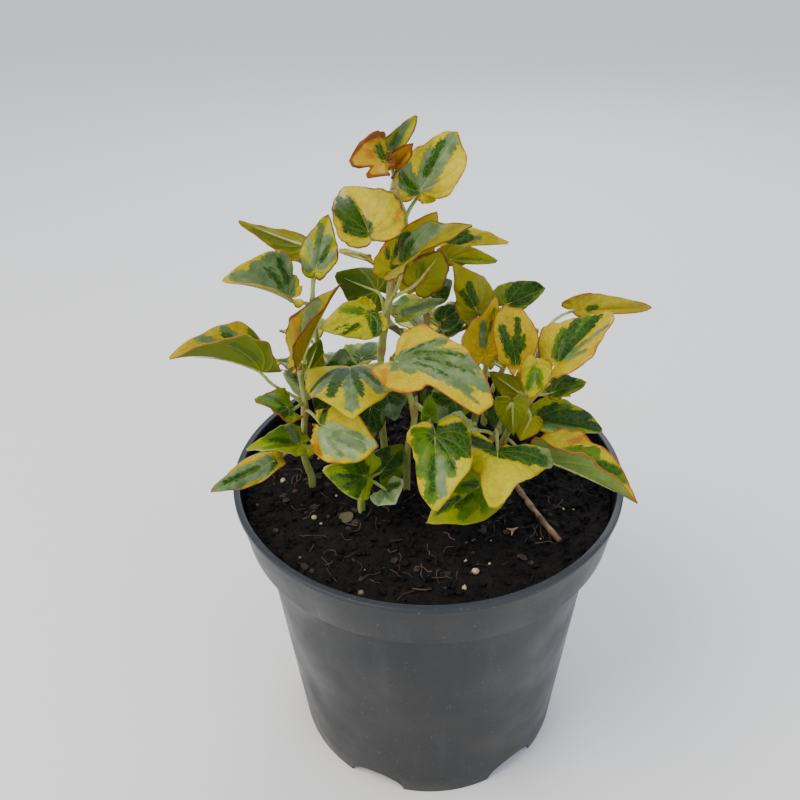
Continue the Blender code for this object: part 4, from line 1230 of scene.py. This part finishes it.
# The front stem. The broad leaf that hangs in the middle of the plant is ribbed with grey-green, with a
# waved orange edge, and a fresh green leaf hangs below it.
make_leafy_stem("stem_front", Stem(
    path=((-9, -8), (-8, -12, 165), (-5, -19, 185), (-8, -25, 206)),
    leaves=(
        Leaf(
            1.00, (-11, -28, 216), (19, -50, 206), (0.0, -0.4, 0.9), 34, arch=66, wave=1.0,
            ground="#E6C41C", edge="#D2582E", rim=0.7, under="#B9A23C",
            marks=(
                (GREY, -75, 0.1, 0.85, 2), (DARK, -80, 0.2, 0.8, 0.4), (GREY, -45, 0.1, 0.95, 3),
                (DARK, -50, 0.3, 0.9, 0.6), (GREY, -25, 0.1, 0.95, 2.6), (DARK, -30, 0.3, 0.9, 0.4),
                (GREY, -10, 0.1, 0.75, 2), (DARK, -12, 0.2, 0.6, 0.4), (GREY, 20, 0.1, 0.55, 1.8),
                (GREY, 60, 0.05, 0.35, 1.6), (WARM, 100, 0.6, 0.95, 1.4), (GREY, -5, 0.8, 0.92, 0.8),
                (PALE, -60, 0.2, 0.9, 0.6), (PALE, -35, 0.2, 0.9, 0.6),
            ),
            stretch=(
                (-165, 0.3), (-140, 0.35), (-115, 0.65), (-90, 1), (-60, 1), (-40, 1.2), (-12, 1.2),
                (0, 1), (15, 0.65), (30, 0.8), (50, 0.9), (80, 0.7), (110, 0.6), (160, 0.7),
            ),
        ),
        Leaf(
            0.70, (3, -42, 192), (3, -62, 172), FRONT, 27, fold=5, arch=26,
            ground="#DCCB34", edge="#D9A03A", rim=0.4, under="#A9A85A",
            marks=(
                (FRESH, 130, 0.1, 0.7, 2.2), (FRESH, 90, 0.1, 0.75, 2.2), (FRESH, 60, 0.1, 0.7, 2.2),
                (FRESH, 30, 0.1, 0.8, 2.4), (FRESH, 5, 0.1, 0.85, 2.4), (DARK, -150, 0.1, 0.85, 2.2),
                (DARK, -120, 0.1, 0.9, 2.8), (DARK, -90, 0.1, 0.85, 2.6), (DARK, -60, 0.1, 0.6, 2.2),
                (FRESH, -30, 0.1, 0.75, 2), (GREY, -10, 0.4, 0.85, 1.8), (DARK, 5, 0.3, 0.8, 0.9),
                (DARK, -40, 0.6, 0.75, 0.8),
            ),
            stretch=(
                (-70, 1), (-50, 1.1), (-20, 1), (10, 1), (40, 0.7), (60, 0.65), (80, 0.77), (120, 0.8),
            ),
        ),
        Leaf(
            0.76, (1, -33, 195), (1, -33, 203), FRONT, 7, fold=24, arch=10, wave=0.5,
            ground="#6E9330", edge="#7DA03C", rim=0.2, under="#6E9330",
            marks=((FRESH, 0, 0, 0.8, 2),),
            stretch=((-40, 1), (-20, 1.25), (20, 1.25), (40, 1)),
        ),
    ),
))

# The front right shoot. A bright yellow leaf with dark lobes hangs on a short stalk over a mottled one,
# both of them thin, fresh blades.
make_leafy_stem("stem_front_right", Stem(
    path=((21, -6), (23, -11, 160), (29, -17, 177)),
    leaves=(
        Leaf(
            0.92, (27, -36, 180), (24, -58, 170), (0.0, -0.4, 0.9), 42, fold=2, cup=-8, arch=34, wave=1.4,
            ground="#E4D02C", edge="#CBA534", rim=0.3, under="#9AA55A",
            marks=(
                (DARK, -150, 0.1, 0.75, 2), (DARK, -120, 0.1, 0.8, 2.4), (DARK, -90, 0.15, 0.6, 1.8),
                (GREY, -130, 0.5, 0.95, 3), (GREY, -150, 0.5, 0.9, 2.2), (DARK, -60, 0.05, 0.35, 1),
                (DARK, 180, 0.2, 0.8, 2.4), (GREY, 150, 0.3, 0.8, 1.6),
            ),
            stretch=(
                (-120, 1.1), (-90, 1.05), (-60, 0.8), (-20, 0.8), (0, 1), (20, 0.6), (80, 0.57),
                (100, 0.65), (140, 1.4), (165, 1.4),
            ),
            curls=((110, 167, 0.4, 30),),
        ),
        Leaf(
            1.00, (33, -22, 193), (34, -25, 180), AWAY, 14, fold=20, arch=10, wave=0.7,
            ground="#8F9440", edge="#B2A85A", rim=0.4, under="#868B3E",
        ),
        Leaf(
            0.50, (22, -32, 161), (0, -48, 155), (0.3, -0.6, 0.8), 24, fold=10,
            ground="#A5AC3A", edge="#C8B85A", rim=0.3, under=SAGE_UNDER,
            marks=(
                (DARK, 5, 0.5, 0.85, 1.4), (DARK, -10, 0.3, 0.6, 1), (FRESH, -30, 0.2, 0.8, 2.2),
                (FRESH, 30, 0.2, 0.6, 2), (DARK, 40, 0.2, 0.5, 1), (FRESH, -70, 0.2, 0.7, 1.8),
            ),
            stretch=((-80, 1), (-40, 1.1), (0, 1)),
        ),
        Leaf(
            0.85, (17, -18, 180), (4, -24, 187), (0.5, 0.0, 0.9), 11, fold=10, arch=20, wave=0.6,
            ground="#C3CA9E", edge="#D3D8B8", rim=0.4, under=SAGE_UNDER,
            marks=((PALE, 10, 0.2, 0.9, 1.4), (PALE, -30, 0.2, 0.8, 1.4), (GREY, 40, 0.3, 0.8, 0.8)),
        ),
    ),
))

# The right stem. A leaf folded along its midrib reaches out over the rim, and yellow leaves with bands of
# green stand above it on longer stalks.
make_leafy_stem("stem_right", Stem(
    path=((31, 2), (32, -2, 157), (35, -8, 173), (41, -11, 187), (48, -12, 197)),
    leaves=(
        Leaf(
            0.30, (50, -26, 168), (82, -42, 160), (0.3, 0.2, 0.9), 29, fold=52, arch=10, wave=1.0,
            ground="#D6C02C", edge="#C4633E", rim=1, under="#9DAE80",
            marks=(
                (FRESH, -30, 0.3, 0.95, 3.4), (DARK, -35, 0.5, 0.9, 1.6), (FRESH, -60, 0.4, 0.8, 2.2),
                (PALE, 30, 0, 0.5, 3), (PALE, 90, 0.1, 0.6, 2.5), (WARM, -95, 0.7, 0.95, 1.4),
            ),
            stretch=((-60, 1), (-30, 1.2), (0, 1), (30, 0.85), (60, 1)),
        ),
        Leaf(
            0.65, (46, 0, 170), (75, 1, 163), (0.2, -0.4, 0.9), 24, fold=28, arch=34,
            ground="#B4B52C", edge="#A49C5C", rim=0.3, under="#A2A545",
            marks=(
                (DARK, 0, 0.1, 0.95, 2.2), (DARK, -20, 0.2, 0.9, 2.2), (FRESH, -45, 0.2, 0.8, 2),
                (DARK, -60, 0.3, 0.7, 1.4), (FRESH, 30, 0.2, 0.9, 2.2), (FRESH, 60, 0.3, 0.8, 1.6),
            ),
            stretch=((-160, 0.55), (-100, 0.55), (-60, 1), (60, 1), (100, 0.55), (160, 0.55)),
        ),
        Leaf(
            0.88, (41, -23, 211), (39, -26, 198), FRONT, 13, fold=24, arch=16, wave=0.7,
            ground="#C8BC34", edge="#BA663C", under="#A9A045",
            marks=((FRESH, 15, 0.2, 0.8, 1.4), (GREY, 0, 0.2, 0.6, 0.7), (FRESH, -30, 0.3, 0.8, 1.2)),
        ),
        Leaf(
            1.00, (51, -11, 205), (74, 3, 219), (-0.3, -0.3, 0.9), 27, fold=28, arch=20, wave=1.2,
            ground="#E0C01C", edge="#C5622F", rim=0.6, under="#B4A838",
            marks=(
                (DARK, -10, 0.1, 0.9, 1.6), (FRESH, -25, 0.2, 0.9, 2.8), (DARK, -35, 0.4, 0.9, 1.6),
                (FRESH, -50, 0.2, 0.7, 1.8), (GREY, 30, 0.2, 0.9, 1.4), (GREY, 60, 0.3, 0.7, 1),
            ),
            stretch=((-160, 0.6), (-100, 0.6), (-60, 1.05), (0, 1), (20, 1.15), (40, 1.1), (80, 1)),
        ),
        Leaf(
            0.74, (64, 18, 213), (97, 36, 205), (0.5, -0.8, 0.4), 19, arch=34, wave=1.2,
            ground="#C4AC24", edge="#B5452C", rim=0.7, under="#A9A23C",
            marks=((DARK, -20, 0.15, 0.3, 1),),
            stretch=((-80, 0.75), (-40, 0.75), (-20, 0.85), (0, 1), (20, 0.4), (160, 0.3)),
        ),
        Leaf(
            0.80, (51, -6, 188), (65, -2, 190), (0.0, -0.7, 0.7), 16, fold=14, arch=24,
            ground="#A9A83A", edge="#A85A34", rim=0.4,
            marks=(
                (DARK, -30, 0.2, 0.9, 2.6), (DARK, -60, 0.3, 0.85, 2.2), (FRESH, 0, 0.1, 0.8, 1.8),
                (FRESH, -100, 0.3, 0.8, 1.6),
            ),
            stretch=((0, 1), (40, 0.5), (160, 0.5)),
        ),
        Leaf(
            0.72, (41, -18, 183), (37, -23, 176), AWAY, 12, arch=20, wave=0.7,
            ground="#BCAA30", edge="#A87A34", rim=0.4, under="#AFA236",
        ),
    ),
))

# The stem behind the right one, rooted in the compost. Its leaves stand upright and are yellow, with two
# dark stripes along the midrib.
make_leafy_stem("stem_right_back", Stem(
    path=((20, 16), (22, 13, 167), (25, 10, 190), (24, 9, 210)),
    leaves=(
        Leaf(
            0.80, (35, -12, 204), (30, -4, 227), FRONT, 18, fold=10, arch=24,
            ground="#DCB61E", edge="#CB6A2E", rim=0.7, under="#AFA236",
            marks=(
                (DARK, -20, 0.3, 0.75, 1.6), (DARK, 20, 0.3, 0.8, 1.2), (DARK, 10, 0.15, 0.5, 1.2),
                (DARK, 35, 0.4, 0.6, 0.9), (DARK, 0, 0.1, 0.4, 1.6),
            ),
            stretch=(
                (-160, 0.4), (-80, 0.4), (-60, 0.8), (-20, 1.2), (0, 1), (25, 1.35), (45, 1.3), (80, 0.5),
                (160, 0.5),
            ),
        ),
        Leaf(
            0.82, (23, -6, 206), (27, 0, 229), FRONT, 15, fold=14, arch=24,
            ground="#D3AE38", edge="#CF7E56", rim=0.8, under="#AFA236",
            marks=((GREY, -30, 0.3, 0.8, 1.4), (FRESH, 0, 0.4, 0.8, 0.6)),
            stretch=(
                (-160, 0.6), (-110, 0.9), (-75, 1.4), (-45, 1.3), (-20, 1), (0, 1), (30, 0.75), (160, 0.6),
            ),
        ),
        Leaf(
            1.00, (20, 4, 220), (9, -2, 244), (0.5, -0.9, 0.0), 18, fold=-8, arch=20,
            ground="#A39A30", edge="#B55A38", rim=0.4, under="#85862E",
            marks=((DARK, 10, 0.2, 0.6, 1.6), (DARK, -15, 0.3, 0.7, 1)),
            stretch=((-60, 0.8), (-30, 0.8), (0, 1), (60, 1.15), (120, 1.15)),
        ),
        Leaf(
            0.90, (34, 24, 213), (50, 30, 217), FRONT, 16, arch=24, wave=1.2,
            ground="#8A9A3E", edge="#8A9A50", rim=0.3,
            marks=((DARK, -15, 0.3, 0.95, 3), (DARK, -45, 0.4, 0.9, 2.4), (FRESH, 20, 0.4, 0.8, 1.6)),
            stretch=((-60, 1.1), (-20, 1.1), (0, 1), (30, 0.8), (60, 0.6)),
        ),
        Leaf(
            0.62, (39, -3, 185), (26, -3, 196), AWAY, 12, fold=14, arch=24, wave=0.7,
            ground="#A59C34", edge="#A87A34", rim=0.4, under="#8E8C34",
        ),
        Leaf(
            0.34, (12, 4, 178), (2, -7, 174), (0.0, -0.5, 0.9), 20,
            ground="#7C9060", edge="#8E9C5C", rim=0.3, under=SAGE_UNDER,
            marks=SHADED,
        ),
        Leaf(
            0.50, (16, 0, 189), (9, -11, 190), (0.1, -0.7, 0.7), 16,
            ground="#8A9A58", edge="#8E9C5C", rim=0.3, under=SAGE_UNDER,
            marks=SHADED,
        ),
        Leaf(
            0.86, (34, 16, 202), (46, 34, 195), (0.1, 0.3, 1.0), 24, fold=14, arch=34,
            ground="#C8BA34",
            marks=LOBED,
        ),
        Leaf(0.35, (30, 6, 176), (34, -2, 161), FRONT, 14, arch=24, ground="#6E8444", rim=0.3, marks=SHADED),
    ),
))

# The stem behind the crown. Its leaves get little light, so they are small, pale at the edge and a duller
# green than those in front.
make_leafy_stem("stem_back_centre", Stem(
    path=((0, 30), (0, 27, 168), (0, 21, 197), (0, 17, 222), (2, 13, 234)),
    leaves=(
        Leaf(
            1.00, (8, 22, 240), (33, 22, 240), (0.0, -0.6, 0.8), 16, fold=14,
            ground="#DAC02C", edge="#B98A3A", rim=0.3, under="#AFA236",
            marks=((DARK, -60, 0.3, 0.7, 1.8), (DARK, -30, 0.3, 0.6, 1.6), (GREY, -20, 0.5, 0.7, 1)),
            stretch=((-60, 1.15), (-20, 1), (0, 1), (20, 0.3), (160, 0.3)),
        ),
        Leaf(
            0.85, (9, 9, 240), (28, 6, 240), FRONT, 12, fold=10, wave=0.7,
            ground="#97923A", edge="#98763A", rim=0.3, under="#8E8C34",
            marks=((FRESH, 0, 0.2, 0.9, 0.6),),
            stretch=((0, 1), (30, 0.4), (160, 0.4)),
        ),
        Leaf(
            0.80, (-9, 9, 217), (8, 11, 222), FRONT, 8, fold=10, arch=24, wave=0.6,
            ground="#B9C58E", edge="#C9CFAE", rim=0.3, under=SAGE_UNDER,
            marks=((GREY, 0, 0, 0.9, 1.2),),
        ),
        Leaf(
            0.75, (7, 12, 212), (16, 14, 218), FRONT, 11, arch=24, wave=0.6,
            ground="#7E9064", edge="#C3CA9E", rim=0.4, under=SAGE_UNDER,
            marks=SHADED,
        ),
        Leaf(
            0.70, (9, 19, 204), (17, 22, 207), FRONT, 8, arch=24, wave=0.6,
            ground="#8E9E70", edge="#C3CA9E", rim=0.4, under=SAGE_UNDER,
            marks=SHADED,
        ),
        Leaf(
            0.85, (3, 26, 217), (11, 31, 221), FRONT, 12, arch=24,
            ground="#6E8444", edge="#7C8438", rim=0.3, under=SAGE_UNDER,
            marks=SHADED,
        ),
        Leaf(
            0.45, (-6, 19, 187), (-14, 6, 182), (0.0, -0.5, 0.9), 20,
            ground="#8A9A58", edge="#8E9C5C", rim=0.3, under=SAGE_UNDER,
            marks=SHADED,
        ),
        Leaf(
            0.88, (6, 25, 230), (14, 45, 221), (0.0, 0.3, 1.0), 22, fold=14, arch=36,
            ground="#CBBC30",
            marks=BANDED,
        ),
        Leaf(
            0.60, (-8, 30, 206), (-24, 44, 202), (-0.1, 0.3, 1.0), 24, fold=14, arch=34,
            ground="#C2BC44", edge="#B87A3A",
            marks=LOBED,
        ),
        Leaf(
            0.55, (9, 30, 203), (26, 42, 200), (0.1, 0.3, 1.0), 24, fold=14, arch=34,
            ground="#CDBE36",
            marks=RIBBED,
        ),
        Leaf(0.3, (4, 14, 178), (8, 6, 162), FRONT, 16, arch=24, ground="#6E8444", rim=0.3, marks=SHADED),
        Leaf(0.4, (-6, 16, 187), (-10, 9, 171), FRONT, 15, arch=24, ground="#6E8444", rim=0.3, marks=SHADED),
    ),
))

# A low shoot at the back left, which the photograph hides. It is made like the others, and its leaves are
# invented after them.
make_leafy_stem("stem_back_left", Stem(
    path=((-36, 34), (-38, 37, 155), (-44, 41, 170)),
    leaves=(
        Leaf(
            1.00, (-54, 41, 173), (-78, 44, 170), (0.0, 0.2, 1.0), 24, fold=14, arch=34,
            ground="#CFC038", rim=0.6,
            marks=BANDED,
        ),
        Leaf(
            0.95, (-44, 55, 165), (-48, 79, 158), (0.0, 0.3, 1.0), 24, arch=36,
            ground="#C6C050", edge="#C07A50", rim=0.6, under=SAGE_UNDER,
            marks=RIBBED,
        ),
        Leaf(
            0.90, (-31, 46, 174), (-22, 66, 171), (0.1, 0.3, 1.0), 20, arch=36,
            ground="#B9B83C", edge="#B98A3A", rim=0.4,
            marks=LOBED,
        ),
    ),
))

# A low shoot at the back, which the photograph hides. It is made like the others, and its leaves are
# invented after them.
make_leafy_stem("stem_back", Stem(
    path=((-6, 50), (-6, 53, 160), (-4, 56, 178)),
    leaves=(
        Leaf(
            1.00, (-3, 65, 181), (0, 86, 174), (0.0, 0.2, 1.0), 26, arch=40,
            ground="#D6C232", rim=0.6,
            marks=RIBBED,
        ),
        Leaf(
            0.95, (-13, 51, 185), (-32, 52, 192), (0.0, 0.3, 1.0), 20,
            ground="#B4B846", edge="#B98A3A", rim=0.4, under=SAGE_UNDER,
            marks=LOBED,
        ),
        Leaf(
            0.90, (7, 51, 181), (24, 52, 187), (0.0, 0.3, 1.0), 20,
            ground="#C4BC3C", edge="#B98A3A", rim=0.4,
            marks=BANDED,
        ),
    ),
))

# A low shoot at the back right, which the photograph hides. It is made like the others, and its leaves are
# invented after them.
make_leafy_stem("stem_back_right", Stem(
    path=((28, 42), (31, 45, 155), (37, 48, 168)),
    leaves=(
        Leaf(
            1.00, (47, 51, 172), (66, 60, 160), (0.1, 0.2, 1.0), 24, arch=36,
            ground="#CDBE30", rim=0.7,
            marks=LOBED,
        ),
        Leaf(
            0.90, (33, 59, 165), (28, 81, 158), (0.0, 0.3, 1.0), 22, arch=36,
            ground="#C9C04A", edge="#C07A50", under=SAGE_UNDER,
            marks=BANDED,
        ),
        Leaf(
            0.80, (46, 38, 164), (66, 32, 160), (0.0, 0.0, 1.0), 20,
            ground="#BDB83A", edge="#B98A3A", rim=0.4,
            marks=RIBBED,
        ),
    ),
))

# Floor, light and camera, which aren't part of the plant: a pale seamless ground and a big soft light from
# the upper left, with a weaker one from the right to open the shadows.
floor_shape = bmesh.new()
bmesh.ops.create_grid(floor_shape, x_segments=1, y_segments=1, size=6)
floor_mesh = bpy.data.meshes.new("floor")
floor_shape.to_mesh(floor_mesh)
floor_shape.free()
floor = bpy.data.objects.new("floor", floor_mesh)
bpy.context.scene.collection.objects.link(floor)
paper = new_material("pale_floor")
finish_material(paper, Base_Color=linear("#E9E9EA"), Roughness=0.9)
floor_mesh.materials.append(paper)


def add_light(name, place, size, power, colour):
    lamp = bpy.data.lights.new(name, "AREA")
    lamp.shape = "DISK"
    lamp.size = size
    lamp.energy = power
    lamp.color = linear(colour)[:3]
    made = bpy.data.objects.new(name, lamp)
    bpy.context.scene.collection.objects.link(made)
    made.matrix_world = (
        Matrix.Translation(place) @ (Vector((0, 0, 0.15)) - Vector(place)).to_track_quat("-Z", "Y").to_matrix().to_4x4()
    )


add_light("key", (-0.7, -0.45, 1.3), 0.8, 17, "#FFF3DC")
add_light("fill", (0.9, -0.7, 0.8), 0.8, 2.5, "#F2F6FF")
add_light("back", (0.2, 1.0, 0.9), 0.8, 5, "#FFFFFF")
world = bpy.data.worlds.new("world")
world.use_nodes = True
world.node_tree.nodes["Background"].inputs["Color"].default_value = linear("#E4EBF7")
world.node_tree.nodes["Background"].inputs["Strength"].default_value = 1.15
bpy.context.scene.world = world

CAMERA_AT = (0, -281, 366)
CAMERA_DOWN = 33.4
CAMERA_LEFT = 2.3
CAMERA_ROLL = -1.4
down, left = radians(CAMERA_DOWN), radians(CAMERA_LEFT)
ahead = Vector((-sin(left) * cos(down), cos(left) * cos(down), -sin(down)))
level = ahead.cross(Vector((0, 0, 1))).normalized()
upright = level.cross(ahead)
roll = radians(CAMERA_ROLL)
right = level * cos(roll) + upright * sin(roll)
up = upright * cos(roll) - level * sin(roll)
camera = bpy.data.objects.new("camera", bpy.data.cameras.new("camera"))
camera.data.lens = 36
camera.data.sensor_width = 36
camera.data.clip_start = 0.01
camera.matrix_world = Matrix.Translation(Vector(CAMERA_AT) * MM) @ Matrix((right, up, -ahead)).transposed().to_4x4()
bpy.context.scene.collection.objects.link(camera)
bpy.context.scene.camera = camera
